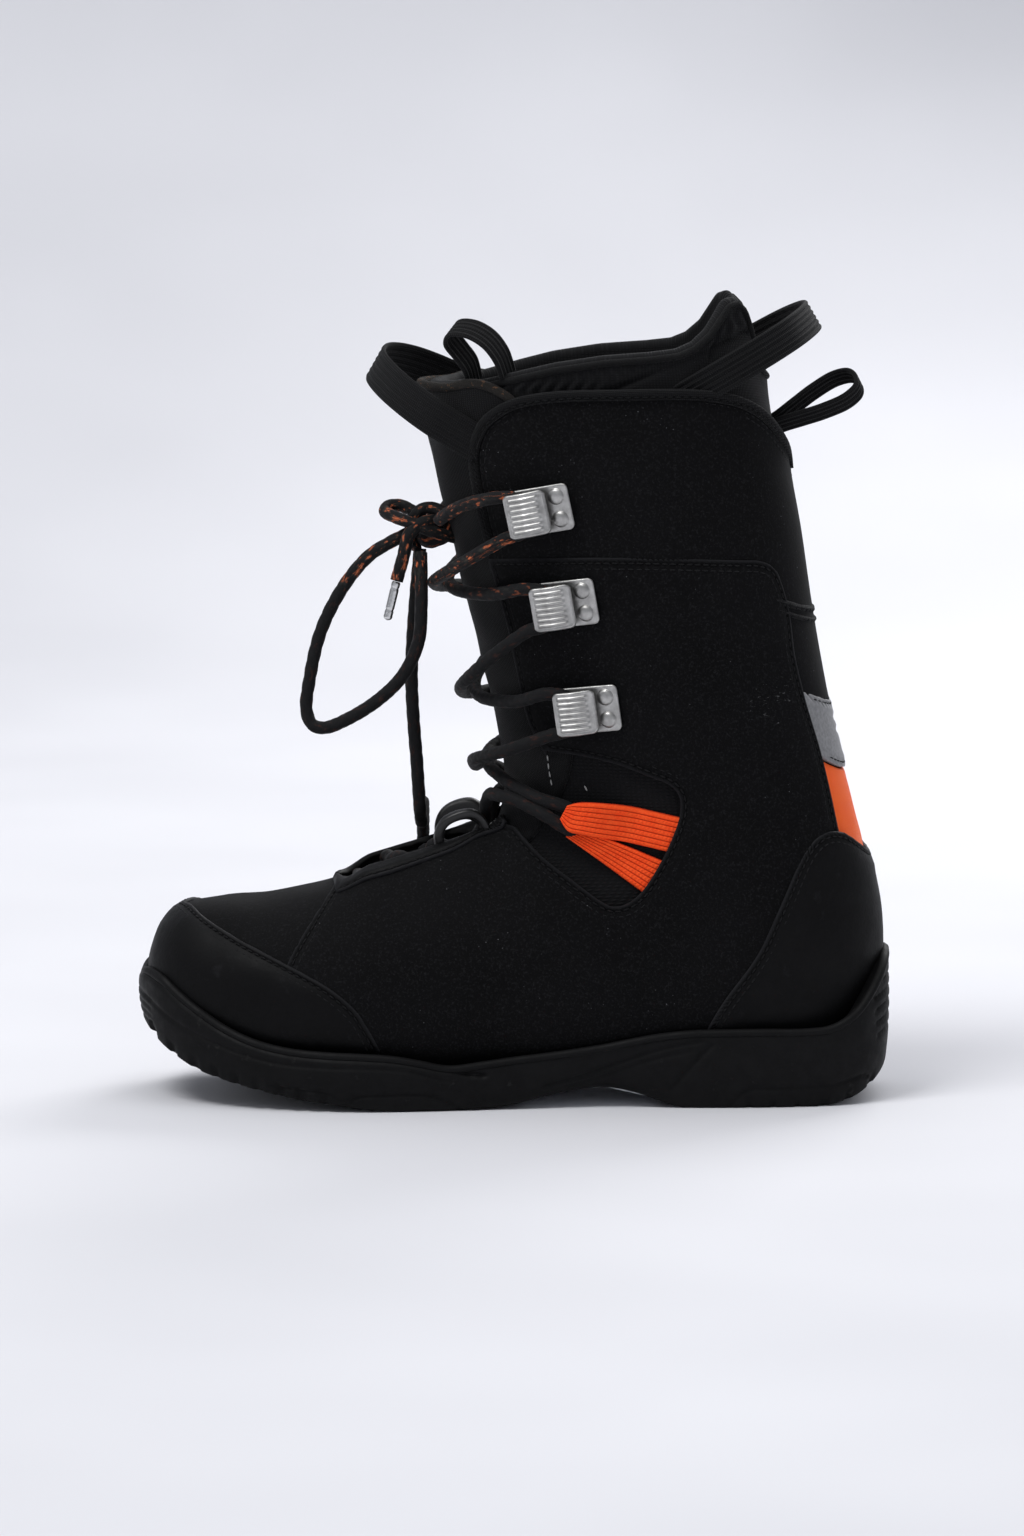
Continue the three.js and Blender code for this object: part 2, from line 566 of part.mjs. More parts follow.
function rivetGeometry() {
  // A domed rivet that starts inside the base plate.
  const inside = 0.2;
  const outline = [
    [0, inside], [RIVET_R, inside], [RIVET_R, HOOK_METAL + RIVET_HEIGHT / 4],
    [RIVET_R * 0.7, HOOK_METAL + RIVET_HEIGHT * 0.8], [0, HOOK_METAL + RIVET_HEIGHT],
  ];
  const rivet = new THREE.LatheGeometry(outline.map(([r, h]) => new THREE.Vector2(r, h)), 8);
  return rivet.rotateX(Math.PI / 2);
}

function hookGeometry() {
  // A riveted base and a raised flap, joined near the front by a narrower neck that the lace goes round.
  const front = -HOOK_LENGTH / 2;
  const flapLevel = HOOK_METAL + HOOK_CHANNEL;
  const neck = new THREE.BoxGeometry(HOOK_METAL, HOOK_NECK, flapLevel);
  neck.translate(front + HOOK_NECK_IN, 0, (HOOK_METAL + flapLevel) / 2);
  let hook = hookPlate(front + 1, HOOK_LENGTH / 2, 0);
  hook = hook.add(hookPlate(front, front + HOOK_FLAP, flapLevel)).add(solid(neck));
  for (const y of [-RIVET_SPREAD, RIVET_SPREAD]) {
    const rivet = rivetGeometry();
    rivet.translate(HOOK_LENGTH / 2 - RIVET_IN, y, 0);
    hook = hook.add(solid(rivet));
  }
  return geometryOf(hook);
}

function hookFrame(side, [, x, z, turn]) {
  // The plate stands on the curved panel, so its middle lies a little way out.
  const panelRadius = 60;
  const stand = HOOK_LENGTH ** 2 / (8 * panelRadius) + 0.5;
  return surfaceFrame(x, z, side, stand, turn);
}

function addHooks() {
  const hook = hookGeometry();
  for (const [sideName, side] of SIDES) {
    for (const place of HOOKS) {
      const mesh = addMesh('lace_hook_' + sideName + '_' + place[0], hook, ...STEEL);
      mesh.applyMatrix4(hookFrame(side, place));
    }
  }
}

// ---- webbing loops ----
class Route extends THREE.Curve {
  // A path that turns exactly at its own points.
  constructor(points) {
    super();
    this.points = points;
  }

  getPoint(t, target = new THREE.Vector3()) {
    const f = t * (this.points.length - 1);
    const i = Math.min(Math.floor(f), this.points.length - 2);
    return target.lerpVectors(this.points[i], this.points[i + 1], f - i);
  }

  getPointAt(u, target) {
    return this.getPoint(u, target);
  }

  getTangentAt(u, target = new THREE.Vector3()) {
    const i = Math.round(u * (this.points.length - 1));
    const before = this.points[Math.max(i - 1, 0)];
    const after = this.points[Math.min(i + 1, this.points.length - 1)];
    return target.subVectors(after, before).normalize();
  }
}

function sweep(points, section) {
  const steps = points.length - 1;
  return new THREE.ExtrudeGeometry(section, { steps, bevelEnabled: false, extrudePath: new Route(points) });
}

function bandSection(width) {
  const shape = new THREE.Shape();
  shape.moveTo(-width / 2, -STRAP_THICK / 2);
  shape.lineTo(width / 2, -STRAP_THICK / 2);
  shape.lineTo(width / 2, STRAP_THICK / 2);
  shape.lineTo(-width / 2, STRAP_THICK / 2);
  return shape;
}

function addBand(name, path, width, origin, forward, sideways) {
  // A webbing band bent in one plane, given by its forward and sideways directions.
  const band = sweep(path.map(([x, y]) => new THREE.Vector3(x, y, 0)), bandSection(width));
  const f = new THREE.Vector3(...forward).normalize();
  const s = new THREE.Vector3(...sideways);
  s.addScaledVector(f, -s.dot(f)).normalize();
  const frame = new THREE.Matrix4().makeBasis(f, s, new THREE.Vector3().crossVectors(f, s));
  frame.setPosition(...origin);
  const mesh = addMesh(name, band, ...WEBBING);
  mesh.applyMatrix4(frame);
}

// Each loop: its width, where its foot stands, which way it reaches, which way it is wide, and its path.
const LOOPS = {
  tongue_pull_loop: {
    width: 15, origin: [-22, 0.9, 277.6], forward: [-0.872, 0, 0.49], sideways: [0.085, 0.985, 0.15],
    path: [
      [0, -39.5], [9, -37.5], [20, -31], [30, -22], [37, -10], [38, 3], [34, 16], [25, 28], [13, 36],
      [4, 39.5],
    ],
  },
  liner_front_loop: {
    width: 12, origin: [-3.5, -39.5, 299.5], forward: [-0.893, 0.45, 0.06], sideways: [0, -0.56, 0.829],
    path: [[0, 0], [1, 6], [5, 13], [12, 17], [19.5, 16.5], [22, 12], [19, 6], [16, 0]],
  },
  liner_rear_loop: {
    width: 13, origin: [74, 0, 296], forward: [0.9, 0, 0.4], sideways: [0, 1, 0],
    path: [
      [-4, -46.8], [4, -47], [14, -47.5], [27, -45.5], [39, -37], [47.5, -20], [50.5, 0], [47.5, 20],
      [39, 37], [27, 45.5], [14, 47.5], [4, 47], [-4, 46.8],
    ],
  },
  heel_pull_loop: {
    width: 9, origin: [106.5, 0, 272], forward: [0.886, 0, 0.463], sideways: [0, 0.7, 0.7],
    path: [
      [0, -1.8], [8, -3.8], [18, -6.2], [28, -7], [34, -4.5], [35.5, 0], [34, 4.5], [28, 7], [18, 6.2],
      [8, 3.8], [0, 1.8],
    ],
  },
};

function addLoops() {
  for (const [name, loop] of Object.entries(LOOPS)) {
    addBand(name, loop.path, loop.width, loop.origin, loop.forward, loop.sideways);
  }
}

// ---- laces ----
const LACE_R = LACE_D / 2;
const UNDER = LACE_R + 1.5;
const OVER = UNDER + LACE_D + 0.5;
const STACKED = 0.8;             // more rise where a third run of lace passes below

function roundSection(r, sides) {
  const shape = new THREE.Shape();
  for (let i = 0; i < sides; i++) {
    const a = (2 * Math.PI * i) / sides;
    if (i === 0) shape.moveTo(r, 0);
    else shape.lineTo(r * Math.cos(a), r * Math.sin(a));
  }
  return shape;
}

function cord(points, r) {
  return sweep(points.map((p) => (Array.isArray(p) ? new THREE.Vector3(...p) : p)), roundSection(r, 8));
}

function addLace(name, points) {
  addMesh(name, cord(points, LACE_R), ...FABRIC);
}

function hookPass(side, place) {
  // The lace's way in under a hook's flap, round its neck and out again.
  const frame = hookFrame(side, place);
  const rise = HOOK_METAL + HOOK_CHANNEL / 2;
  const half = [[-16, 8.4], [-12, 7.9], [-8, 6.7], [-6.4, 3.2]];
  const route = [...half, ...half.toReversed().map(([x, y]) => [x, -y])];
  return route.map(([x, y]) => new THREE.Vector3(x, -side * y, rise).applyMatrix4(frame));
}

function frontAt(z) {
  // The section whose front or top point is at height z.
  let [low, high] = [1, LAST];
  for (let i = 0; i < 40; i++) {
    const mid = (low + high) / 2;
    if (station(mid)[1] > z) high = mid;
    else low = mid;
  }
  return low;
}

function acrossFront(from, to, height, rise) {
  // Points over the front of the boot, at a height there, between side view places on opposite sides.
  const [v0, t0] = locate(from[0], from[1], from[2]);
  const [v1, t1] = locate(to[0], to[1], to[2]);
  const vMid = frontAt(height);
  const end = t1 + (t0 < 0 ? -2 * Math.PI : 2 * Math.PI);
  return [0.12, 0.35, 0.5, 0.65, 0.88].map((f) => {
    const t = t0 + f * (end - t0);
    const wrapped = Math.abs(t) > Math.PI ? t - Math.sign(t) * 2 * Math.PI : t;
    const v = v0 * (1 - f) * (1 - 2 * f) + vMid * 4 * f * (1 - f) + v1 * f * (2 * f - 1);
    return bodyPoint(v, wrapped, rise);
  });
}

function sideView(point) {
  return [point.x, point.z, Math.sign(point.y)];
}

const EYELETS = [[-22, 103], [-38, 96.5], [-54, 91], [-63, 88]];
const CROSSINGS = [209, 166, 135, 124, 101, 95.5, 90];    // height at the front, from the top down

function laceHalf(side, rises) {
  const [top, mid, lower] = HOOKS.map((place, i) => hookPass(i === 1 ? -side : side, place));
  const upper = [
    ...[[-25.5, 235], [-21.5, 239], [-14.5, 243]].map(([x, z]) => onBody(x, z, side, UNDER + 1)), ...top,
    ...acrossFront(sideView(top.at(-1)), sideView(mid[0]), CROSSINGS[0], rises[0]), ...mid,
    ...acrossFront(sideView(mid.at(-1)), sideView(lower[0]), CROSSINGS[1], rises[1]), ...lower,
  ];
  const flex = acrossFront(sideView(lower.at(-1)), [22, 119.8, -side], CROSSINGS[2], rises[2]);
  const turn = [[23.5, 119.2], [28, 115], [25, 110.5]].map(([x, z]) => onBody(x, z, -side, UNDER));
  const runs = [[21, 110.6], ...EYELETS.slice(0, 3)].map(([x, z], i) => [x, z, i % 2 ? side : -side]);
  const low = [1, 2, 3].flatMap((i) => acrossFront(runs[i - 1], runs[i], CROSSINGS[2 + i], rises[2 + i]));
  if (side === LATERAL) {
    const [x, z] = EYELETS[3];
    low.push(onBody(x + 1, z - 3, side, UNDER + 2));
    low.push(...acrossFront([x, z, side], [x, z, -side], CROSSINGS[6], UNDER));
  }
  return { upper, flex, low: [...turn, ...low] };
}

// The free lace, from the knot: hand-chosen points.
const BOW_LOOP = [
  [-43, -7, 227.5], [-50, -8, 224], [-58.4, -9, 218.7], [-68.5, -9, 206.6], [-77.8, -8, 188.4],
  [-82.6, -7, 168.2], [-83.8, -7, 156.1], [-81.4, -8, 150.4], [-76.6, -9, 149.2], [-66.5, -11, 153.3],
  [-54.3, -13, 161.3], [-44.8, -14, 171], [-38.6, -15, 184.4], [-37.4, -15, 198.5], [-37.4, -14, 212.7],
  [-37.6, -11, 220],
];
const LONG_STRAND = [
  [-38, -1, 221], [-39.5, -2, 205], [-41, -3, 185], [-41.5, -3, 168], [-40.5, -2, 148], [-38.8, 0, 128],
  [-38, 3, 119.5], [-37.5, 10, 114.5], [-37.3, 19, 112], [-37.3, 28, 106.5], [-37.4, 36, 99.5],
  [-37.6, 40.5, 92],
];
const SHORT_STRAND = [[-42.5, -13, 227], [-44.5, -13.5, 219], [-47.3, -13.5, 209]];
const AGLETS = [
  ['aglet_short', [-47.4, -13.5, 208.6], [-51.1, -13.6, 193.3]],
  ['aglet_long', [-37.7, 40.8, 91.5], [-38, 45.6, 77]],
];
const SMALL_BIGHT = [
  [-37, 0, 231], [-44, 0, 234], [-50, -1, 237], [-51.5, -2, 240], [-47.5, -3, 241.5], [-37, -3, 236],
];
const KNOT_MIDDLE = [-37.5, -3, 230.5];
const KNOT_HALF = [6.5, 8.5, 6.5];

function addKnot() {
  const lump = new THREE.SphereGeometry(1, 10, 8);
  lump.scale(...KNOT_HALF);
  lump.translate(...KNOT_MIDDLE);
  let knot = solid(lump).add(solid(cord(SMALL_BIGHT, LACE_R)));
  const passing = [
    BOW_LOOP.slice(0, 3), BOW_LOOP.slice(-3), LONG_STRAND.slice(0, 3), SHORT_STRAND.slice(0, 2),
  ];
  for (const points of passing) knot = knot.subtract(solid(cord(points, LACE_R + GAP)));
  addSolid('lace_knot', knot, ...FABRIC);
}

function addLaces() {
  const halves = [
    ['lateral', laceHalf(LATERAL, [OVER, UNDER, OVER + STACKED, UNDER, OVER, UNDER])],
    ['medial', laceHalf(MEDIAL, [UNDER, OVER, UNDER + STACKED, OVER, UNDER, OVER])],
  ];
  for (const [name, lace] of halves) {
    addLace('lace_upper_' + name, lace.upper);
    addLace('lace_flex_' + name, lace.flex);
    addLace('lace_lower_' + name, lace.low);
  }
  addKnot();
  const free = { lace_bow_loop: BOW_LOOP, lace_long_strand: LONG_STRAND, lace_short_strand: SHORT_STRAND };
  for (const [name, points] of Object.entries(free)) {
    addLace(name, points);
  }
  for (const [name, from, to] of AGLETS) {
    const ends = [new THREE.Vector3(...from), new THREE.Vector3(...to)];
    const reach = ends[1].clone().sub(ends[0]).setLength(AGLET_LENGTH);
    ends[1].copy(ends[0]).add(reach);
    addMesh(name, sweep(ends, roundSection(AGLET_D / 2, 8)), ...STEEL);
  }
}

function addLaceGuides() {
  // A stiff arch on each lower eyestay, which the lace runs under.
  const arch = [[-10, 0.6], [-9, 6], [-5, 10.5], [0, 11.6], [5, 10.5], [9, 6], [10, 0.6]];
  for (const [name, side] of SIDES) {
    const frame = surfaceFrame(-20, 102, side, GAP + 2.6, 22);
    const band = sweep(arch.map(([x, z]) => new THREE.Vector3(x, z, 0)), bandSection(GUIDE_WIDTH));
    band.rotateX(Math.PI / 2);
    const mesh = addMesh('lace_guide_' + name, band, ...RUBBER);
    mesh.applyMatrix4(frame);
  }
}

addSoleUnit();
addLowerShell();
addTongue();
addShaft();
addInside();
addHarness();
addHooks();
addLoops();
addLaces();
addLaceGuides();

export default body;
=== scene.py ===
import json
import math

import bmesh
import bpy
import numpy as np
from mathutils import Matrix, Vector, noise
from mathutils.geometry import delaunay_2d_cdt
from mathutils.kdtree import KDTree

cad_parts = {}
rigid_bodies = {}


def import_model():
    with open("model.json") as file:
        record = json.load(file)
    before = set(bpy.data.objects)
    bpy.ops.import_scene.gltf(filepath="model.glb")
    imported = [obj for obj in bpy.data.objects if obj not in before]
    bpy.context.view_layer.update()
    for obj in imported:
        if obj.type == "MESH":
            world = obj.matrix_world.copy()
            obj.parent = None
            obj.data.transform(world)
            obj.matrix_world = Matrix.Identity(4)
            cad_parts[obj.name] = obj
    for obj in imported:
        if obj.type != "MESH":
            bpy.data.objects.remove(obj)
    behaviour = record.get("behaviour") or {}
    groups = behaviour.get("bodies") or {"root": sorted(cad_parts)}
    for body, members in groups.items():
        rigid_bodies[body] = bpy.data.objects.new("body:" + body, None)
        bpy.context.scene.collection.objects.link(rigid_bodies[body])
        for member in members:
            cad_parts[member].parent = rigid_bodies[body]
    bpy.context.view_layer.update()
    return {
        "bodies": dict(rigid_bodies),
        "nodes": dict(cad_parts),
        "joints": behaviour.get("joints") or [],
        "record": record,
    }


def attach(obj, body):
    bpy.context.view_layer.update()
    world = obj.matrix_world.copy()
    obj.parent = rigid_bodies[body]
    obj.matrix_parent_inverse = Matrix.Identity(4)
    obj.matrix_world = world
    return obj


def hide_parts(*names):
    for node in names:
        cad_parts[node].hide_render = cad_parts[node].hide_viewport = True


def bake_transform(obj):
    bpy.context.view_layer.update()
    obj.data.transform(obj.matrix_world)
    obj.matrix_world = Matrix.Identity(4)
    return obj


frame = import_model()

# A lace-up snowboard boot, metres, toe towards -X, outer (lateral) side towards -Y, +Z up.
MM = 0.001
LATERAL = -1
MEDIAL = 1
SIDES = (("lateral", LATERAL), ("medial", MEDIAL))
FRONT = "front"
BACK = "back"

# ---- camera ----
CAMERA_TARGET = Vector((-0.001, -0.045, 0.137))
CAMERA_DISTANCE = 2.75
CAMERA_ELEVATION = math.radians(6.5)
VIEW_HEIGHT = 0.611         # height of the picture at the target
SENSOR = 36.0


def add_camera():
    data = bpy.data.cameras.new("camera")
    data.sensor_width = SENSOR
    data.lens = SENSOR / 2 * CAMERA_DISTANCE / (VIEW_HEIGHT / 2)
    data.clip_start = 0.05
    data.clip_end = 50
    camera = bpy.data.objects.new("camera", data)
    bpy.context.scene.collection.objects.link(camera)
    back = Vector((0, -math.cos(CAMERA_ELEVATION), math.sin(CAMERA_ELEVATION)))
    camera.location = CAMERA_TARGET + back * CAMERA_DISTANCE
    camera.rotation_mode = "QUATERNION"
    camera.rotation_quaternion = (-back).to_track_quat("-Z", "Y")
    bpy.context.scene.camera = camera


add_camera()

# ---- the surface of the boot ----
# Each row is a flat section through the boot: its front or top point, its back or bottom point (x, z),
# its half width, the sideways place of its middle, where its widest point lies, and how square it is.
STATIONS = np.array([
    [-147.5, 50, -147.5, 50, 0, 7, 0.40, 2.2, 2.2],
    [-146, 58, -146.5, 43, 14, 7, 0.38, 2.3, 2.2],
    [-141.5, 69, -142, 36, 26, 6.5, 0.36, 2.5, 2.2],
    [-132, 76.3, -132, 29.5, 36.5, 5.5, 0.34, 2.7, 2.2],
    [-118, 79, -116, 23, 44, 4, 0.32, 2.9, 2.2],
    [-98, 81, -96, 18, 50, 2, 0.30, 3, 2.2],
    [-74, 86.5, -70, 15, 53, 0.5, 0.30, 3, 2.2],
    [-50, 94, -42, 13.5, 52.5, 0, 0.31, 3, 2.2],
    [-28, 101.5, -10, 12.5, 50, 0, 0.33, 2.9, 2.2],
    [-11, 109, 28, 12, 48, 0, 0.36, 2.8, 2.2],
    [-6, 120, 70, 12, 46.5, 0, 0.39, 2.6, 2.2],
    [-5.5, 133, 110, 12.5, 44.5, 0, 0.42, 2.5, 2.2],
    [-8.5, 150, 135, 18, 43.5, 0, 0.44, 2.4, 2.2],
    [-13, 170, 146, 42, 44, 0, 0.45, 2.35, 2.2],
    [-18, 190, 147, 73, 45, 0, 0.46, 2.3, 2.2],
    [-22.5, 208, 141, 103, 46.5, 0, 0.46, 2.3, 2.2],
    [-26.5, 225, 133.5, 133, 48.5, 0, 0.46, 2.3, 2.2],
    [-30, 241, 126.5, 163, 50.5, 0, 0.46, 2.3, 2.2],
    [-33.5, 255, 120, 196, 52, 0, 0.46, 2.3, 2.2],
    [-36.5, 267, 115, 230, 53, 0, 0.46, 2.3, 2.2],
    [-38.5, 278, 110, 260, 53.5, 0, 0.46, 2.3, 2.2],
    [-40.5, 294, 106, 290, 54, 0, 0.46, 2.3, 2.2],
    [-43, 332, 101, 334, 54, 0, 0.46, 2.3, 2.2],
])
LAST = len(STATIONS) - 1
HALVINGS = 44               # steps of the search for a place
STATIONS[:, :6] *= MM


def station(v):
    """Catmull-Rom through the sections, for an array of places v."""
    v = np.clip(v, 0, LAST)
    i = np.minimum(v.astype(int), LAST - 1)
    f = (v - i)[:, None]
    a, b, c, d = (STATIONS[np.clip(i + k, 0, LAST)] for k in (-1, 0, 1, 2))
    return b + 0.5 * f * (c - a + f * (2 * a - 5 * b + 4 * c - d + f * (3 * (b - c) + d - a)))


def skin(v, t):
    """Points of the boot's surface: t is 0 at the back or bottom, pi at the front or top."""
    row = station(v)
    c = np.cos(t)
    n = np.where(c > 0, row[:, 7], row[:, 8])
    reach = np.abs(c) ** (2 / n)
    peak = row[:, 6]
    s = np.where(c > 0, peak * (1 - reach), peak + (1 - peak) * reach)
    y = row[:, 5] + row[:, 4] * np.sign(np.sin(t)) * np.abs(np.sin(t)) ** (2 / n)
    x = row[:, 2] + (row[:, 0] - row[:, 2]) * s
    z = row[:, 3] + (row[:, 1] - row[:, 3]) * s
    return np.stack([x, y, z], 1)


def unit(vectors):
    return vectors / np.maximum(np.linalg.norm(vectors, axis=1), 1e-12)[:, None]


def skin_frame(v, t):
    """The surface's two directions at each place: along the boot and round it, per unit of v and t."""
    dv, dt = 0.05, 0.02
    v0, v1 = np.maximum(v - dv, 0.02), np.minimum(v + dv, LAST)
    along = (skin(v1, t) - skin(v0, t)) / (v1 - v0)[:, None]
    across = (skin(v, t + dt) - skin(v, t - dt)) / (2 * dt)
    return along, across


def surface(v, t, height=0.0):
    """Points that stand height above the boot's surface, and the surface's outward directions there."""
    v, t = np.atleast_1d(np.asarray(v, float)), np.atleast_1d(np.asarray(t, float))
    along, across = skin_frame(v, t)
    out = unit(np.cross(across, along))
    return skin(v, t) + out * np.reshape(height, (-1, 1)), out


def locate(points, side):
    """The places (v, t) on one side of the boot whose side view is at these (x, z) points, in metres."""
    x, z = np.asarray(points, float).T
    low, high = np.full(len(x), 0.05), np.full(len(x), float(LAST))
    for _ in range(HALVINGS):
        mid = (low + high) / 2
        row = station(mid)
        turned = (row[:, 0] - row[:, 2]) * (z - row[:, 3]) - (row[:, 1] - row[:, 3]) * (x - row[:, 2])
        high = np.where(turned > 0, mid, high)
        low = np.where(turned > 0, low, mid)
    row = station(low)
    fx, fz = row[:, 0] - row[:, 2], row[:, 1] - row[:, 3]
    s = np.clip(((x - row[:, 2]) * fx + (z - row[:, 3]) * fz) / (fx * fx + fz * fz), 0, 1)
    peak = row[:, 6]
    lower = np.clip(1 - s / peak, 0, 1) ** (row[:, 7] / 2)
    upper = -np.clip((s - peak) / (1 - peak), 0, 1) ** (row[:, 8] / 2)
    return low, side * np.arccos(np.where(s < peak, lower, upper))


def on_boot(points_mm, side, height_mm):
    """Points on one side of the boot, from side view places in millimetres."""
    v, t = locate(np.array(points_mm, float) * MM, side)
    return surface(v, t, height_mm * MM)[0]


# ---- curves ----
def smooth(points, step=2.0):
    """A smooth curve through given points, as points a step apart."""
    p = np.array(points, float)
    if len(p) < 3:
        return resample(p, step)
    ends = np.vstack([2 * p[0] - p[1], p, 2 * p[-1] - p[-2]])
    made = [catmull(*four, 16) for four in zip(ends[:-3], ends[1:-2], ends[2:-1], ends[3:])]
    return resample(np.vstack([*made, ends[-2][None]]), step)


def catmull(a, b, c, d, count):
    """Centripetal Catmull-Rom between b and c."""
    t0 = 0.0
    t1 = t0 + max(np.linalg.norm(b - a), 1e-9) ** 0.5
    t2 = t1 + max(np.linalg.norm(c - b), 1e-9) ** 0.5
    t3 = t2 + max(np.linalg.norm(d - c), 1e-9) ** 0.5
    t = np.linspace(t1, t2, count, endpoint=False)[:, None]
    a1 = (t1 - t) / (t1 - t0) * a + (t - t0) / (t1 - t0) * b
    a2 = (t2 - t) / (t2 - t1) * b + (t - t1) / (t2 - t1) * c
    a3 = (t3 - t) / (t3 - t2) * c + (t - t2) / (t3 - t2) * d
    b1 = (t2 - t) / (t2 - t0) * a1 + (t - t0) / (t2 - t0) * a2
    b2 = (t3 - t) / (t3 - t1) * a2 + (t - t1) / (t3 - t1) * a3
    return (t2 - t) / (t2 - t1) * b1 + (t - t1) / (t2 - t1) * b2


def resample(points, step):
    """The same line, with points an equal step apart."""
    gaps = np.linalg.norm(np.diff(points, axis=0), axis=1)
    at = np.concatenate([[0], np.cumsum(gaps)])
    count = max(int(round(at[-1] / step)), 1) + 1
    where = np.linspace(0, at[-1], count)
    return np.stack([np.interp(where, at, points[:, k]) for k in range(points.shape[1])], 1)


# ---- panels: shaped pieces of leather or fabric that lie on the boot ----
GRID = 3.2 * MM             # spacing of a panel's inner points
STITCH_LENGTH = 2.5 * MM
STITCH_GAP = 0.8 * MM
STITCH_WIDTH = 0.62 * MM


def around(v, t0, t1, count=90):
    """Arc length round the section at v, from t0 to t1, as matching lists of t and length."""
    t = np.linspace(t0, t1, count)
    p = skin(np.full(count, v), t)
    return t, np.concatenate([[0], np.cumsum(np.linalg.norm(np.diff(p, axis=0), axis=1))])


class Domain:
    """A flat map of the boot's surface, centred on its front or its back."""

    def __init__(self, centre):
        self.middle = math.pi if centre == FRONT else 0.0
        self.v = np.linspace(0, LAST, 4 * LAST + 1)
        side = skin(self.v, np.full(len(self.v), math.pi / 2))
        self.p = np.concatenate([[0], np.cumsum(np.linalg.norm(np.diff(side, axis=0), axis=1))])
        self.t = np.linspace(self.middle - math.pi, self.middle + math.pi, 181)
        rows = []
        for v in self.v:
            _, length = around(v, self.t[0], self.t[-1], len(self.t))
            rows.append(length - length[len(length) // 2])
        self.q = np.array(rows)

    def wrap(self, t):
        return (t - self.middle + math.pi) % (2 * math.pi) - math.pi + self.middle

    def flat(self, v, t):
        """Places on the map, from places on the boot."""
        p = np.interp(v, self.v, self.p)
        f = np.clip(v, 0, LAST) * 4
        i = np.minimum(f.astype(int), len(self.v) - 2)
        g = (self.wrap(t) - self.t[0]) / (self.t[1] - self.t[0])
        k = np.clip(g.astype(int), 0, len(self.t) - 2)
        f, g = f - i, g - k
        q = ((self.q[i, k] * (1 - g) + self.q[i, k + 1] * g) * (1 - f)
             + (self.q[i + 1, k] * (1 - g) + self.q[i + 1, k + 1] * g) * f)
        return np.stack([p, q], 1)

    def grid(self, low, high, spacing):
        """Places (v, t) spread over the part of the map between two corners."""
        made = []
        rows = np.arange(low[0], high[0], spacing * 0.87)
        for j, p in enumerate(rows):
            v = np.interp(p, self.p, self.v)
            t, length = around(v, self.t[0], self.t[-1], len(self.t))
            length = length - length[len(length) // 2]
            q = np.arange(max(low[1], length[0]), min(high[1], length[-1]), spacing)
            q = q + (spacing / 2 if j % 2 else 0)
            made.append(np.stack([np.full(len(q), v), np.interp(q, length, t)], 1))
        return np.vstack(made)


DOMAINS = {FRONT: Domain(FRONT), BACK: Domain(BACK)}


def inside(points, polygon):
    """Which of these flat points lie in the polygon."""
    x, y = points.T
    result = np.zeros(len(points), bool)
    ends = np.roll(polygon, -1, axis=0)
    for (x0, y0), (x1, y1) in zip(polygon, ends):
        if y0 == y1:
            continue
        crosses = (y0 > y) != (y1 > y)
        result ^= crosses & (x < (x1 - x0) * (y - y0) / (y1 - y0) + x0)
    return result


def distances(points, line_points):
    tree = KDTree(len(line_points))
    for i, p in enumerate(line_points):
        tree.insert(p, i)
    tree.balance()
    return np.array([tree.find(p)[2] for p in points])


def step_on_surface(v, t, move):
    """The places reached by small moves, given as vectors, from places on the boot."""
    along, across = skin_frame(v, t)
    aa, bb, ab = (np.sum(x * y, 1) for x, y in ((along, along), (across, across), (along, across)))
    ma, mb = np.sum(move * along, 1), np.sum(move * across, 1)
    det = aa * bb - ab * ab
    dv = (ma * bb - mb * ab) / det
    dt = (mb * aa - ma * ab) / det
    return np.clip(v + dv, 0.02, LAST), t + dt


def inset(places, distance, closed=True, side=1):
    """The line that lies a distance to one side of a line of places on the boot."""
    v, t = places.T
    p, out = surface(v, t)
    if closed:
        run = np.roll(p, -1, axis=0) - np.roll(p, 1, axis=0)
    else:
        run = np.gradient(p, axis=0)
    inward = unit(np.cross(out, run)) * side * distance
    return np.stack(step_on_surface(v, t, inward), 1)


EYESTAY_LIFT = 4.0          # how far the lower eyestays stand proud of the instep
TROUGH = 7.0                # and how deep the tongue lies between them


def settled(points):
    """Points near the instep, moved with the raised eyestays and the sunken tongue between them."""
    p = np.array(points, float)
    x, y, z = p.T / MM
    along = np.clip((x + 72) / 14, 0, 1) * np.clip((-3 - x) / 14, 0, 1)
    along = along * along * (3 - 2 * along)
    here = along * np.clip((z - 62) / 16, 0, 1) * np.clip((136 - z) / 14, 0, 1)
    across = np.abs(y)
    beside = 0.5 + 0.5 * np.cos(math.pi * np.clip((across - 25) / 22, 0, 1))
    between = 0.5 + 0.5 * np.cos(math.pi * np.clip((across - 6) / 14, 0, 1))
    p[:, 2] += here * (EYESTAY_LIFT * beside - (TROUGH + EYESTAY_LIFT) * between) * MM
    return p


def grid_faces(rows, columns, wrap=False):
    """The quads of a grid of points, row by row."""
    faces = []
    for r in range(rows - 1):
        for k in range(columns if wrap else columns - 1):
            m = (k + 1) % columns
            faces.append([r * columns + k, r * columns + m, (r + 1) * columns + m, (r + 1) * columns + k])
    return faces


def closed_tube_faces(rings, sides):
    """The faces of rings of points joined into a tube with flat ends."""
    faces = grid_faces(rings, sides, wrap=True)
    faces.append(list(range(sides))[::-1])
    faces.append([(rings - 1) * sides + k for k in range(sides)])
    return faces


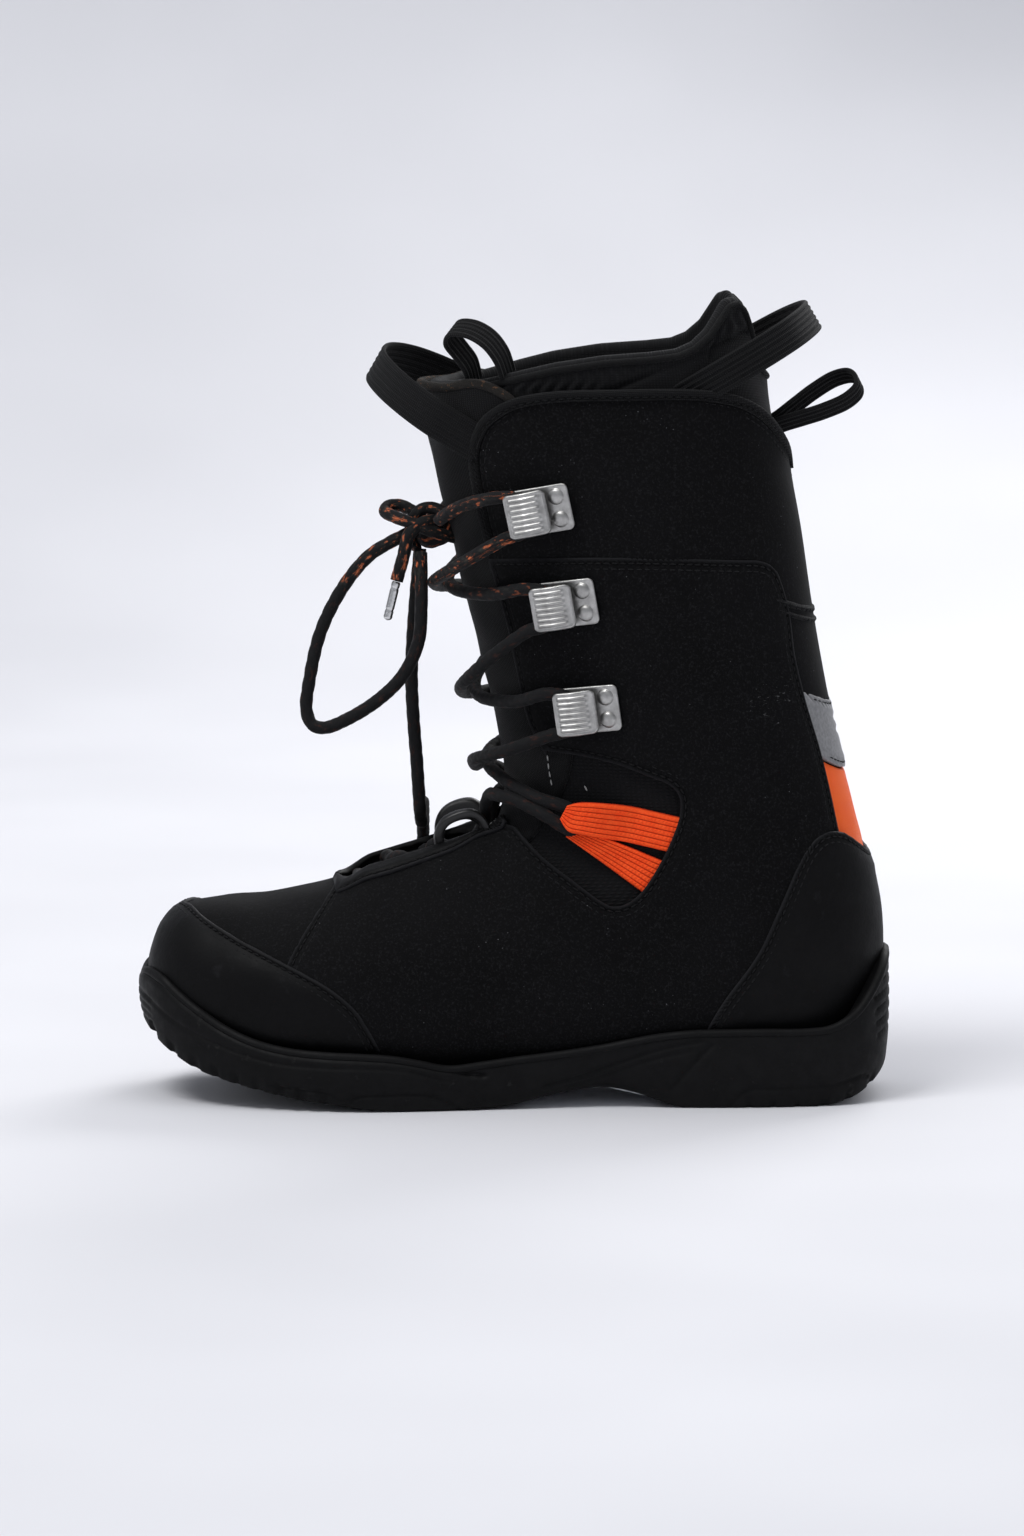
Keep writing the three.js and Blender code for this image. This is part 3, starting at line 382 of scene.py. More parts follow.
class Part:
    """Vertices and faces gathered for one mesh, with a map of the surface for its material."""

    def __init__(self):
        self.points, self.faces, self.uv = [], [], []
        self.count = 0

    def add(self, points, faces, uv=None):
        points = np.asarray(points, float)
        self.points.append(points)
        self.faces.extend([[i + self.count for i in face] for face in faces])
        self.uv.append(np.zeros((len(points), 2)) if uv is None else np.asarray(uv, float))
        self.count += len(points)

    def build(self, name, material, smooth_faces=True, settle=True):
        points = np.vstack(self.points)
        if settle:
            points = settled(points)
        mesh = bpy.data.meshes.new(name)
        mesh.from_pydata(points.tolist(), [], self.faces)
        mesh.validate()
        uv = np.vstack(self.uv)
        layer = mesh.uv_layers.new(name="map")
        loops = np.zeros(len(mesh.loops), np.int32)
        mesh.loops.foreach_get("vertex_index", loops)
        layer.data.foreach_set("uv", uv[loops].astype(np.float32).ravel())
        mesh.polygons.foreach_set("use_smooth", [smooth_faces] * len(mesh.polygons))
        mesh.materials.append(material)
        obj = bpy.data.objects.new(name, mesh)
        bpy.context.scene.collection.objects.link(obj)
        return obj


MAP_MARGIN = 0.002          # the least turn that a place keeps from the front and back lines


def places_of(line_mm, side, domain):
    """Places on the boot of a side view line, in millimetres."""
    v, t = locate(np.asarray(line_mm, float) * MM, side)
    t = side * np.clip(np.abs(t), MAP_MARGIN, math.pi - MAP_MARGIN)
    return np.stack([v, domain.wrap(t)], 1)


LINE_STEP = 0.4 * MM        # spacing of the points that distances to a line are measured from
LEAST_GAP = 0.22 * MM       # vertices closer than about this become one
EDGE_ROWS = np.array([0.35, 0.9, 1.7]) * MM     # rows of vertices along a rounded edge
UNDERSIDE = 0.3 * MM        # how far a panel's underside lies below its start
GROOVE_WIDTH = 1.0 * MM
GROOVE_DEPTH = 0.8 * MM
GROOVE_REACH = 0.42 * MM
RIDGE = 0.7 * MM            # the cut edge that shows along a seam
RIDGE_REACH = 0.45 * MM
PUFF = 0.3 * MM             # the swell beside the last row of stitches
THREAD_SUNK = 0.12 * MM
# how far the painted highlight along a seam reaches
SEAM_HIGHLIGHT_REACH = 0.7 * MM


def panel_spots(outline, domain, edge_points, seams, seam_points, rows, spacing):
    """Places for a panel's inner vertices: rows along its edge and its seams, and a grid between."""
    flat_edge = domain.flat(*outline.T)
    x, y = flat_edge.T
    area = np.sum(x * np.roll(y, -1) - y * np.roll(x, -1))
    inward = -1.0 if area > 0 else 1.0
    lines = [(inset(outline, d, side=inward), d * 0.9) for d in EDGE_ROWS]
    lines += [(seam, 0.3 * MM) for seam in seams]
    for row in rows:
        for step in (-1, -0.5, 0, 0.5, 1):
            d = row * MM + step * GROOVE_WIDTH
            for seam in seams:
                for side in (1, -1):
                    lines.append((inset(seam, d, closed=False, side=side), min(d * 0.9, d - 0.2 * MM)))
    grid = domain.grid(flat_edge.min(0), flat_edge.max(0), spacing)
    lines.append((grid, EDGE_ROWS[-1] + spacing * (0.4 if seams else 0.35)))
    spots = np.vstack([line for line, _ in lines])
    least = np.concatenate([np.full(len(line), clearance) for line, clearance in lines])
    kept = inside(domain.flat(*spots.T), flat_edge)
    spots, least = spots[kept], least[kept]
    points = surface(*spots.T)[0]
    kept = distances(points, edge_points) >= least - 1e-9
    if seams:
        coarse = least >= EDGE_ROWS[-1] + spacing * 0.39
        clear = rows[-1] * MM + GROOVE_WIDTH + spacing * 0.35
        kept &= ~(coarse & (distances(points, seam_points) < clear))
    return spots[kept][thin_out(points[kept], LEAST_GAP)]


def triangulated(outline, spots, domain):
    """Triangles over an outline and the spots in it: the places of their corners, and their indices."""
    every = np.vstack([outline, spots])
    n = len(outline)
    edges = [(i, (i + 1) % n) for i in range(n)]
    flat = [Vector(p) for p in domain.flat(*every.T)]
    corners, _, faces, origin = delaunay_2d_cdt(flat, edges, [], 0, 1e-9)[:4]
    corners = np.array([list(p) for p in corners])
    places = np.array([every[o[0]] if len(o) else (0, 0) for o in origin])
    triangles = np.array([face for face in faces if len(face) == 3])
    triangles = triangles[inside(corners[triangles].mean(1), domain.flat(*outline.T))]
    a, b, c = (corners[triangles[:, k]] for k in range(3))
    double = (b[:, 0] - a[:, 0]) * (c[:, 1] - a[:, 1]) - (b[:, 1] - a[:, 1]) * (c[:, 0] - a[:, 0])
    real = np.abs(double) > 1e-12
    triangles = triangles[real]
    flip = double[real] < 0
    triangles[flip] = triangles[flip][:, ::-1]
    used = np.unique(triangles)
    renumber = np.full(len(places), -1)
    renumber[used] = np.arange(len(used))
    return places[used], renumber[triangles]


def seam_profile(from_seam, rows):
    """How a panel rises and falls beside a seam: the cut edge, a groove for each row, and a swell."""
    rise = RIDGE * np.exp(-(from_seam / RIDGE_REACH) ** 2)
    for row in rows:
        rise -= GROOVE_DEPTH * np.exp(-((from_seam - row * MM) / GROOVE_REACH) ** 2)
    beyond = from_seam - rows[-1] * MM
    return rise + PUFF * np.exp(-((beyond - 2.2 * MM) / (1.6 * MM)) ** 2)


def panel(name, outline, centre, level, thick, material, seams=(), rows=(), round_edge=1.3, relief=None,
          spacing=GRID, threads=None):
    """A panel of the given outline, a closed line of places on the boot.

    It starts level above the surface, in millimetres, and has rounded edges. Along each seam, a line of
    places too, it has a groove for every row of stitches, at the given distances from the seam.
    """
    domain = DOMAINS[centre]
    level, thick, round_edge = level * MM, thick * MM, round_edge * MM
    edge = surface(*outline.T)[0]
    edge_points = resample(np.vstack([edge, edge[:1]]), LINE_STEP)
    seam_points = np.vstack([resample(surface(*seam.T)[0], LINE_STEP) for seam in seams]) if seams else None
    spots = panel_spots(outline, domain, edge_points, seams, seam_points, rows, spacing)
    places, triangles = triangulated(outline, spots, domain)
    base, out = surface(*places.T)
    away = distances(base, edge_points)
    rise = thick * np.sqrt(np.clip(1 - (1 - np.minimum(away / round_edge, 1)) ** 2, 0, 1))
    if seams:
        from_seam = distances(base, seam_points)
        rise += seam_profile(from_seam, rows)
    if relief is not None:
        rise += relief(base) * np.clip((away - EDGE_ROWS[-1]) / (3 * MM), 0, 1)
    top = base + out * (level + np.maximum(rise, 0))[:, None]
    under = base + out * (level - UNDERSIDE)
    if threads is not None:
        height = (level + thick - THREAD_SUNK) / MM
        for seam in seams:
            add_seam_stitches(threads, seam, rows, height, domain, domain.flat(*outline.T), seam_points)
    if triangle_faces_in(top, triangles, out):
        triangles = triangles[:, ::-1]
    count = len(top)
    faces = triangles.tolist() + (triangles[:, ::-1] + count).tolist()
    faces += [[b, a, a + count, b + count] for a, b in border_edges(triangles)]
    part = Part()
    part.add(np.vstack([top, under]), faces, np.tile(domain.flat(*places.T), (2, 1)))
    made = part.build(name, material)
    if seams:
        # weights for the painted highlight along the seams, kept in the edge attribute
        seam_highlight_and_grey_fleck = np.exp(-(from_seam / SEAM_HIGHLIGHT_REACH) ** 2)
        edge = made.data.attributes.new("edge", "FLOAT", "POINT")
        edge.data.foreach_set("value", np.tile(seam_highlight_and_grey_fleck, 2).astype(np.float32))
    return made


def triangle_faces_in(points, triangles, out):
    a, b, c = (points[triangles[:, k]] for k in range(3))
    return np.sum(np.cross(b - a, c - a) * out[triangles[:, 0]]) < 0


def border_edges(triangles):
    """Edges that only one triangle has."""
    seen = {}
    for a, b, c in triangles.tolist():
        for e in ((a, b), (b, c), (c, a)):
            seen[e] = True
    return [e for e in seen if (e[1], e[0]) not in seen]


def thin_out(points, distance):
    """The indices of points that lie no closer together than a distance."""
    cells, kept = {}, []
    keys = np.floor(points / distance).astype(int)
    for i, key in enumerate(map(tuple, keys)):
        if key in cells:
            continue
        cells[key] = True
        kept.append(i)
    return np.array(kept, int)


# ---- stitches ----
def stitch_shape():
    """One stitch: a capsule along X, with its round side up."""
    profile = ((-1.0, 0.0), (-0.8, 0.6), (-0.35, 1.0), (0.35, 1.0), (0.8, 0.6), (1.0, 0.0))
    sides = 6
    points, faces = [(-1, 0, 0)], []
    for x, r in profile[1:-1]:
        for k in range(sides):
            a = 2 * math.pi * k / sides
            points.append((x, r * math.cos(a), r * math.sin(a)))
    points.append((1, 0, 0))
    last = len(points) - 1
    rings = len(profile) - 2
    for k in range(sides):
        m = (k + 1) % sides
        faces.append([0, 1 + m, 1 + k])
        for r in range(rings - 1):
            a, b = 1 + r * sides, 1 + (r + 1) * sides
            faces.append([a + k, a + m, b + m, b + k])
        faces.append([last, last - sides + k, last - sides + m])
    return np.array(points, float), faces


STITCH_POINTS, STITCH_FACES = stitch_shape()


def stitch_along(part, places, height):
    """Adds a row of stitches along a line of places on the boot, height millimetres above it."""
    points, out = surface(*places.T, height * MM)
    at = np.concatenate([[0], np.cumsum(np.linalg.norm(np.diff(points, axis=0), axis=1))])
    pitch = STITCH_LENGTH + STITCH_GAP
    count = int(at[-1] / pitch)
    if count < 1:
        return
    starts = (at[-1] - count * pitch) / 2 + np.arange(count) * pitch + STITCH_GAP / 2

    def pick(where, rows):
        return np.stack([np.interp(where, at, rows[:, k]) for k in range(3)], 1)

    a, b = pick(starts, points), pick(starts + STITCH_LENGTH, points)
    add_stitches(part, a, b, unit(pick(starts + STITCH_LENGTH / 2, out)))


def add_stitches(part, a, b, up):
    """Adds a stitch from each point of a to that of b, with its round side up."""
    along = unit(b - a)
    cross = unit(np.cross(up, along))
    up = np.cross(along, cross)
    half = np.linalg.norm(b - a, axis=1)[:, None] / 2
    p = STITCH_POINTS
    for i in range(len(a)):
        made = ((a[i] + b[i]) / 2 + p[:, :1] * half[i] * along[i]
                + p[:, 1:2] * STITCH_WIDTH / 2 * cross[i] + p[:, 2:] * STITCH_WIDTH * 0.45 * up[i])
        part.add(made, STITCH_FACES, p[:, :2] * 0.5 + 0.5)


def add_seam_stitches(part, seam, rows, height, domain, flat_edge, seam_points):
    """Rows of stitches beside a seam, on the side of it where the panel is."""
    for row in rows:
        for side in (1, -1):
            line = inset(seam, row * MM, closed=False, side=side)
            good = inside(domain.flat(*line.T), flat_edge)
            good &= distances(surface(*line.T)[0], seam_points) > row * MM * 0.93
            for run in runs_of(good):
                if len(run) > 3:
                    stitch_along(part, line[run], height)


def runs_of(flags):
    """The stretches of indices where flags holds."""
    found, current = [], []
    for i, flag in enumerate(flags):
        if flag:
            current.append(i)
        elif current:
            found.append(current)
            current = []
    if current:
        found.append(current)
    return found


# ---- materials ----
class Look:
    """A procedural material, built up a node at a time."""

    def __init__(self, name, roughness=0.6, metallic=0.0, specular=0.5, sheen=0.0):
        self.material = bpy.data.materials.new(name)
        self.material.use_nodes = True
        self.nodes = self.material.node_tree.nodes
        self.links = self.material.node_tree.links
        self.shader = self.nodes["Principled BSDF"]
        self.shader.inputs["Roughness"].default_value = roughness
        self.shader.inputs["Metallic"].default_value = metallic
        self.shader.inputs["Specular IOR Level"].default_value = specular
        self.shader.inputs["Sheen Weight"].default_value = sheen
        self.shader.inputs["Sheen Roughness"].default_value = 0.5
        self.coordinates = self.nodes.new("ShaderNodeTexCoord")
        self.normal = None

    def node(self, kind, *inputs, **settings):
        made = self.nodes.new(kind)
        for key, value in settings.items():
            setattr(made, key, value)
        for socket, value in zip(made.inputs, inputs):
            self.put(socket, value)
        return made

    def put(self, socket, value):
        if value is None:
            return
        if isinstance(value, bpy.types.NodeSocket):
            self.links.new(value, socket)
        else:
            socket.default_value = value

    def math(self, operation, a, b=None, clamp=False):
        return self.node("ShaderNodeMath", a, b, operation=operation, use_clamp=clamp).outputs[0]

    def noise(self, scale, detail=4.0, rough=0.55, where="Object", stretch=None):
        place = self.coordinates.outputs[where]
        if stretch is not None:
            mapping = self.node("ShaderNodeMapping", place)
            mapping.inputs["Scale"].default_value = stretch
            place = mapping.outputs[0]
        made = self.node("ShaderNodeTexNoise")
        self.put(made.inputs["Vector"], place)
        made.inputs["Scale"].default_value = scale
        made.inputs["Detail"].default_value = detail
        made.inputs["Roughness"].default_value = rough
        return made.outputs["Fac"]

    def cells(self, scale, feature="F1"):
        made = self.node("ShaderNodeTexVoronoi", feature=feature)
        self.put(made.inputs["Vector"], self.coordinates.outputs["Object"])
        made.inputs["Scale"].default_value = scale
        return made.outputs["Distance"]

    def wave(self, scale, direction):
        made = self.node("ShaderNodeTexWave", bands_direction=direction)
        self.put(made.inputs["Vector"], self.coordinates.outputs["UV"])
        made.inputs["Scale"].default_value = scale
        return made.outputs["Fac"]

    def spread(self, value, low, high, to_low=0.0, to_high=1.0):
        made = self.node("ShaderNodeMapRange", value)
        made.inputs["From Min"].default_value = low
        made.inputs["From Max"].default_value = high
        made.inputs["To Min"].default_value = to_low
        made.inputs["To Max"].default_value = to_high
        return made.outputs[0]

    def mix(self, factor, a, b):
        made = self.node("ShaderNodeMix", data_type="RGBA")
        self.put(made.inputs["Factor"], factor)
        for socket, value in ((made.inputs[6], a), (made.inputs[7], b)):
            self.put(socket, value if isinstance(value, bpy.types.NodeSocket) else (*value, 1.0))
        return made.outputs[2]

    def painted_seam_highlight(self, base, colour):
        """A painted highlight along the seams: a lighter colour over base, where the edge attribute is high.
        """
        edge = self.node("ShaderNodeAttribute", attribute_name="edge")
        return self.mix(edge.outputs["Fac"], base, colour)

    def near(self, x, z, reach):
        """1 at a spot of the side view, falling to 0 at reach metres from it."""
        flat = self.node("ShaderNodeMapping", self.coordinates.outputs["Object"])
        flat.inputs["Scale"].default_value = (1, 0, 1)
        away = self.node("ShaderNodeVectorMath", flat.outputs[0], (x, 0, z), operation="DISTANCE")
        return self.spread(away.outputs["Value"], reach, 0)

    def colour(self, value):
        self.put(self.shader.inputs["Base Color"],
                 value if isinstance(value, bpy.types.NodeSocket) else (*value, 1.0))
        return self

    def rough(self, value):
        self.put(self.shader.inputs["Roughness"], value)
        return self

    def bump(self, height, distance, strength=1.0):
        made = self.node("ShaderNodeBump")
        made.inputs["Strength"].default_value = strength
        made.inputs["Distance"].default_value = distance
        self.put(made.inputs["Height"], height)
        if self.normal is not None:
            self.put(made.inputs["Normal"], self.normal)
        self.normal = made.outputs[0]
        self.put(self.shader.inputs["Normal"], self.normal)
        return self


SCUFF = (0.101, 0.1655, 0.015)    # place and reach of the rubbed spot on the shaft, in the side view
ONE_BAND = 2 * math.pi / 20     # scale of a wave texture with one band for each unit


def nubuck_look():
    """Black brushed panels: fine grain, faint cloudiness, tiny pale specks of dust."""
    look = Look("nubuck", 0.8, specular=0.10, sheen=0.015)
    cloud = look.noise(22, 5)
    grain = look.noise(950, 2, 0.8)
    base = look.mix(look.spread(cloud, 0.35, 0.7), (0.0009, 0.0009, 0.0011), (0.0022, 0.0022, 0.0026))
    base = look.mix(look.spread(grain, 0.5, 0.72, 0, 1), base, (0.0115, 0.0115, 0.0125))
    speck = look.cells(420)
    scatter = look.noise(60, 2)
    fleck = look.math("MULTIPLY", look.spread(speck, 0.10, 0.05), look.spread(scatter, 0.58, 0.7), clamp=True)
    base = look.mix(fleck, base, (0.16, 0.16, 0.17))
    scratch = look.noise(520, 4, 0.75, stretch=(0.45, 1, 1.9))
    scuffs = look.math("MULTIPLY", look.spread(scratch, 0.62, 0.7), look.near(*SCUFF))
    base = look.mix(look.math("MULTIPLY", scuffs, 1.3, clamp=True), base, (0.13, 0.13, 0.13))
    # a lighter colour along the seams: painted highlight
    look.colour(look.painted_seam_highlight(base, (0.013, 0.013, 0.0145)))
    look.rough(look.spread(grain, 0.3, 0.7, 0.72, 0.9))
    look.bump(grain, 0.00012, 0.7)
    return look.bump(look.noise(160, 4), 0.0004, 0.35).material


def leather_look():
    """Smoother leather of the toe cap and heel counter, with a slight sheen and rubbed spots."""
    look = Look("leather", 0.6, specular=0.12)
    cells = look.cells(900, "SMOOTH_F1")
    cloud = look.noise(18, 4)
    rub = look.noise(90, 6, 0.7)
    base = look.mix(look.spread(cloud, 0.35, 0.7), (0.0009, 0.0009, 0.0011), (0.0024, 0.0024, 0.0028))
    base = look.mix(look.spread(rub, 0.6, 0.78, 0, 0.5), base, (0.018, 0.018, 0.02))
    # a lighter colour along the seams: painted highlight
    look.colour(look.painted_seam_highlight(base, (0.013, 0.013, 0.0145)))
    look.rough(look.spread(rub, 0.3, 0.7, 0.5, 0.66))
    look.bump(cells, 0.00012, 0.5)
    return look.bump(look.noise(240, 4), 0.0003, 0.3).material


def rubber_look(name, dust):
    look = Look(name, 0.6, specular=0.16)
    cloud = look.noise(26, 5)
    dirt = look.noise(130, 6, 0.7)
    base = look.mix(look.spread(cloud, 0.3, 0.7), (0.0012, 0.0012, 0.0014), (0.0028, 0.0028, 0.0032))
    base = look.mix(look.spread(dirt, 0.62, 0.78, 0, dust), base, (0.045, 0.045, 0.043))
    look.colour(base)
    look.rough(look.spread(dirt, 0.3, 0.75, 0.5, 0.78))
    return look.bump(look.noise(1100, 3), 0.0001, 0.5).material


def woven_look(name, low, high, pitch, flecks=None):
    """A plain weave with threads a pitch apart, in millimetres."""
    look = Look(name, 0.85, specular=0.18, sheen=0.04)
    scale = 1000 / pitch / 6.283
    a, b = look.wave(scale * 2, "X"), look.wave(scale * 2, "Y")
    weave = look.math("MULTIPLY", a, b)
    cloud = look.noise(40, 4)
    base = look.mix(look.spread(weave, 0, 1, 0, 0.9), low, high)
    base = look.mix(look.spread(cloud, 0.35, 0.75, 0, 0.5), base, tuple(0.6 * c for c in high))
    if flecks is not None:
        spots = look.math("GREATER_THAN", look.noise(420, 2, 0.8), 0.63)
        base = look.mix(spots, base, flecks)
    look.colour(base)
    return look.bump(weave, 0.00035, 0.8).material


def foam_look():
    """Liner fabric over foam: a fine knit with a soft sheen."""
    look = Look("liner_fabric", 0.88, specular=0.2, sheen=0.06)
    knit = look.math("MULTIPLY", look.wave(480, "X"), look.wave(330, "Y"))
    cloud = look.noise(60, 4)
    base = look.mix(look.spread(cloud, 0.3, 0.75), (0.0018, 0.0018, 0.0022), (0.0045, 0.0045, 0.0052))
    base = look.mix(look.spread(knit, 0, 1, 0, 0.5), base, (0.011, 0.011, 0.0125))
    look.colour(base)
    return look.bump(knit, 0.0003, 0.7).material


def knit_look():
    """Bright orange knitted webbing, with painted shade darkening it between its rows."""
    look = Look("orange_knit", 0.8, specular=0.12)
    fibre = look.noise(2600, 3, 0.7)
    shade = look.noise(300, 3)
    base = look.mix(look.spread(shade, 0.3, 0.7), (0.94, 0.05, 0.006), (1.0, 0.085, 0.014))
    base = look.mix(look.spread(fibre, 0.3, 0.7, 0, 0.35), base, (1.0, 0.2, 0.05))
    # painted shade: a darker orange in the grooves between the knitted rows
    row = look.wave(ONE_BAND, "Y")
    base = look.mix(look.spread(row, 0.22, 0.02, 0, 0.8), base, (0.45, 0.02, 0.004))
    look.colour(base)
    return look.bump(fibre, 0.0002, 0.6).material


def satin_look():
    look = Look("orange_satin", 0.5, specular=0.25)
    thread = look.wave(700, "Y")
    shade = look.noise(50, 3)
    base = look.mix(look.spread(shade, 0.3, 0.7), (0.98, 0.1, 0.004), (1.0, 0.14, 0.006))
    look.colour(look.mix(look.spread(thread, 0, 1, 0, 0.3), base, (1.0, 0.2, 0.015)))
    return look.bump(thread, 0.0001, 0.6).material


def badge_look():
    look = Look("grey_badge", 0.5, specular=0.5)
    speckle = look.noise(700, 3)
    look.colour(look.mix(look.spread(speckle, 0.35, 0.7), (0.17, 0.17, 0.175), (0.25, 0.25, 0.255)))
    return look.bump(speckle, 0.0001, 0.5).material


def steel_look():
    """Satin stamped steel, brushed lengthwise, its tone uneven in patches."""
    look = Look("hook_steel", 0.36, metallic=1.0)
    brushed = look.noise(160, 6, 0.7, stretch=(1, 9, 9))
    wear = look.noise(220, 5, 0.65)
    base = look.mix(look.spread(wear, 0.35, 0.72), (0.34, 0.335, 0.325), (0.54, 0.535, 0.52))
    look.colour(base)
    look.rough(look.spread(brushed, 0.3, 0.7, 0.28, 0.5))
    return look.bump(brushed, 0.00006, 0.5).material


def chrome_look():
    look = Look("aglet_metal", 0.18, metallic=1.0)
    scratch = look.noise(900, 4)
    look.colour(look.mix(look.spread(scratch, 0.4, 0.7), (0.6, 0.6, 0.6), (0.75, 0.75, 0.76)))
    return look.rough(look.spread(scratch, 0.3, 0.7, 0.14, 0.3)).material


def lace_look():
    """Braided black lace, with orange and grey flecks in its upper part."""
    look = Look("lace", 0.75, specular=0.2, sheen=0.04)
    fibre = look.noise(2200, 3, 0.7)
    base = look.mix(look.spread(fibre, 0.35, 0.7), (0.0018, 0.0018, 0.0021), (0.007, 0.007, 0.008))
    place = look.node("ShaderNodeSeparateXYZ", look.coordinates.outputs["Object"]).outputs[2]
    upper = look.spread(place, 0.204, 0.214)
    streak = look.noise(1.0, 3, 0.6, where="UV", stretch=(0.9, 0.16, 1))
    grey = look.noise(1.3, 3, 0.6, where="UV", stretch=(0.7, 0.12, 1))
    seam_highlight_and_grey_fleck = look.math("MULTIPLY", look.spread(grey, 0.5, 0.66, 0, 0.8), upper)
    base = look.mix(seam_highlight_and_grey_fleck, base, (0.035, 0.034, 0.028))
    bright = look.math("MULTIPLY", look.spread(streak, 0.57, 0.68), look.spread(place, 0.204, 0.214, 0.04, 1))
    tint = look.mix(look.spread(fibre, 0.3, 0.75), (0.42, 0.06, 0.015), (0.8, 0.25, 0.1))
    base = look.mix(bright, base, tint)
    look.colour(base)
    return look.bump(fibre, 0.00012, 0.6).material


def thread_look(name, low, high):
    look = Look(name, 0.7, specular=0.2)
    twist = look.wave(6, "DIAGONAL")
    look.colour(look.mix(twist, low, high))
    return look.bump(twist, 0.0001, 0.6).material


def plastic_look(name, low, high, roughness):
    look = Look(name, roughness, specular=0.5)
    speckle = look.noise(420, 5)
    look.colour(look.mix(look.spread(speckle, 0.35, 0.7), low, high))
    look.rough(look.spread(speckle, 0.3, 0.7, roughness * 0.85, roughness * 1.15))
    return look.bump(speckle, 0.0001, 0.5).material


NUBUCK = nubuck_look()
LEATHER = leather_look()
RUBBER = rubber_look("sole_rubber", 0.5)
TREAD = rubber_look("tread_rubber", 0.8)
TONGUE_CLOTH = woven_look("tongue_cloth", (0.0015, 0.0015, 0.0018), (0.0065, 0.0065, 0.0073), 1.1)
BINDING = woven_look("binding", (0.0018, 0.0018, 0.0021), (0.008, 0.008, 0.009), 0.8)
FLECKED_BINDING = woven_look("flecked_binding", (0.012, 0.01, 0.008), (0.03, 0.025, 0.02), 0.8,
                             flecks=(0.12, 0.06, 0.03))
LINING = woven_look("lining", (0.002, 0.002, 0.0025), (0.006, 0.006, 0.007), 1.4)
LINER = foam_look()
ORANGE_KNIT = knit_look()
ORANGE_SATIN = satin_look()
BADGE = badge_look()
STEEL = steel_look()
CHROME = chrome_look()
WEBBING = woven_look("webbing", (0.0025, 0.0025, 0.0028), (0.010, 0.010, 0.011), 0.9)
LACE = lace_look()
THREAD = thread_look("thread", (0.003, 0.003, 0.0033), (0.011, 0.011, 0.012))
PALE_THREAD = thread_look("pale_thread", (0.2, 0.2, 0.2), (0.55, 0.55, 0.54))
GUIDE = plastic_look("guide_plastic", (0.003, 0.003, 0.003), (0.006, 0.006, 0.006), 0.42)
SHANK = plastic_look("shank_plastic", (0.42, 0.44, 0.46), (0.55, 0.57, 0.6), 0.5)
CUSHION_FOAM = plastic_look("cushion_foam", (0.07, 0.1, 0.14), (0.1, 0.14, 0.18), 0.8)
BOARD = plastic_look("board", (0.16, 0.12, 0.08), (0.24, 0.19, 0.13), 0.8)
FOOTBED = woven_look("footbed_cloth", (0.06, 0.08, 0.1), (0.16, 0.19, 0.23), 1.2)


# ---- side view lines of the panels, in millimetres ----
TOE_CAP_SEAM = [
    (-137, 79), (-134, 77.5), (-123, 72), (-110, 66), (-100, 61.8), (-88, 56.5), (-74.5, 49.7),
    (-64.4, 42), (-58.4, 34), (-53, 23.4),
]
TOE_BOX_SEAM = [(-69.5, 90), (-71.5, 87), (-77.5, 79), (-83, 71), (-88, 63), (-92, 55)]
COUNTER_SEAM = [
    (73, 18), (75.8, 30), (81, 40), (87, 48.5), (95, 59), (99.2, 65.9), (104, 77), (109.3, 89),
    (113, 98), (117, 105.5), (122, 110), (126.5, 111), (131, 109.5), (136, 105), (141, 99.5),
]
EYESTAY_LINE = [(-71, 86.2), (-60, 87.6), (-40, 93.6), (-20, 101.2), (-3.8, 111.5)]
CUT_OUT_LINE = [
    (12.7, 142.6), (27.7, 141), (40.6, 138.2), (54, 133.3), (62.4, 129.7), (65.7, 125.2), (65.7, 117.2),
    (63.2, 109.5), (58, 98.2), (50.3, 86.5), (44.2, 82), (39, 81.2), (34.5, 83.2), (23.2, 91.3),
    (10.7, 100.6), (0.2, 111.1), (-3.8, 114.3),
]
SHAFT_FRONT_LINE = [(12.3, 141), (6.3, 152.7), (2.2, 168.9), (-1.8, 189), (-6, 205), (-10, 219.4)]
CUFF_FRONT_LINE = [(-10, 214), (-12, 226), (-14.7, 237.6), (-17, 250), (-18.2, 259), (-17.6, 267)]
CUFF_TOP_LINE = [
    (-17.6, 267), (-14, 275.5), (-4, 283), (12.3, 286.8), (42.6, 288), (62, 288.2), (75, 287.6),
    (91, 284), (101, 277), (107, 268), (110.5, 260.5), (111.9, 257.5),
]
MAIN_SEAM = [(-10, 219.4), (10, 220.6), (40, 221.4), (70, 220.8), (90, 219.8)]
PANEL_BACK_LINE = [
    (90, 219.8), (97.2, 219.2), (102.5, 216.5), (106, 210), (109.3, 197.2), (111.3, 181), (115.3, 164.8),
    (121.4, 144.6), (125.4, 128.5), (129.5, 109.3),
]

SAME_POINT = 0.35 * MM


def in_places(line, side, domain, step=2.0):
    return places_of(smooth(line, step), side, domain)


def across_t(v, t0, t1, count):
    """A line of places round the boot, at one v."""
    return np.stack([np.full(count, float(v)), np.linspace(t0, t1, count)], 1)


def closed_line(*lines):
    """Lines joined into an outline, without doubled points."""
    joined = np.vstack(lines)
    p = surface(*joined.T)[0]
    keep = [0]
    for i in range(1, len(p)):
        if np.linalg.norm(p[i] - p[keep[-1]]) > SAME_POINT:
            keep.append(i)
    while np.linalg.norm(p[keep[-1]] - p[0]) < SAME_POINT:
        keep.pop()
    return joined[keep]


def soft_relief(size, depth, seed=0.0):
    """A gentle unevenness of leather or cloth: a function for panel's relief."""
    shift = Vector((seed, seed * 2.3, 0))

    def relief(points):
        return np.array([noise.noise(Vector(p) / size + shift) for p in points]) * depth
    return relief


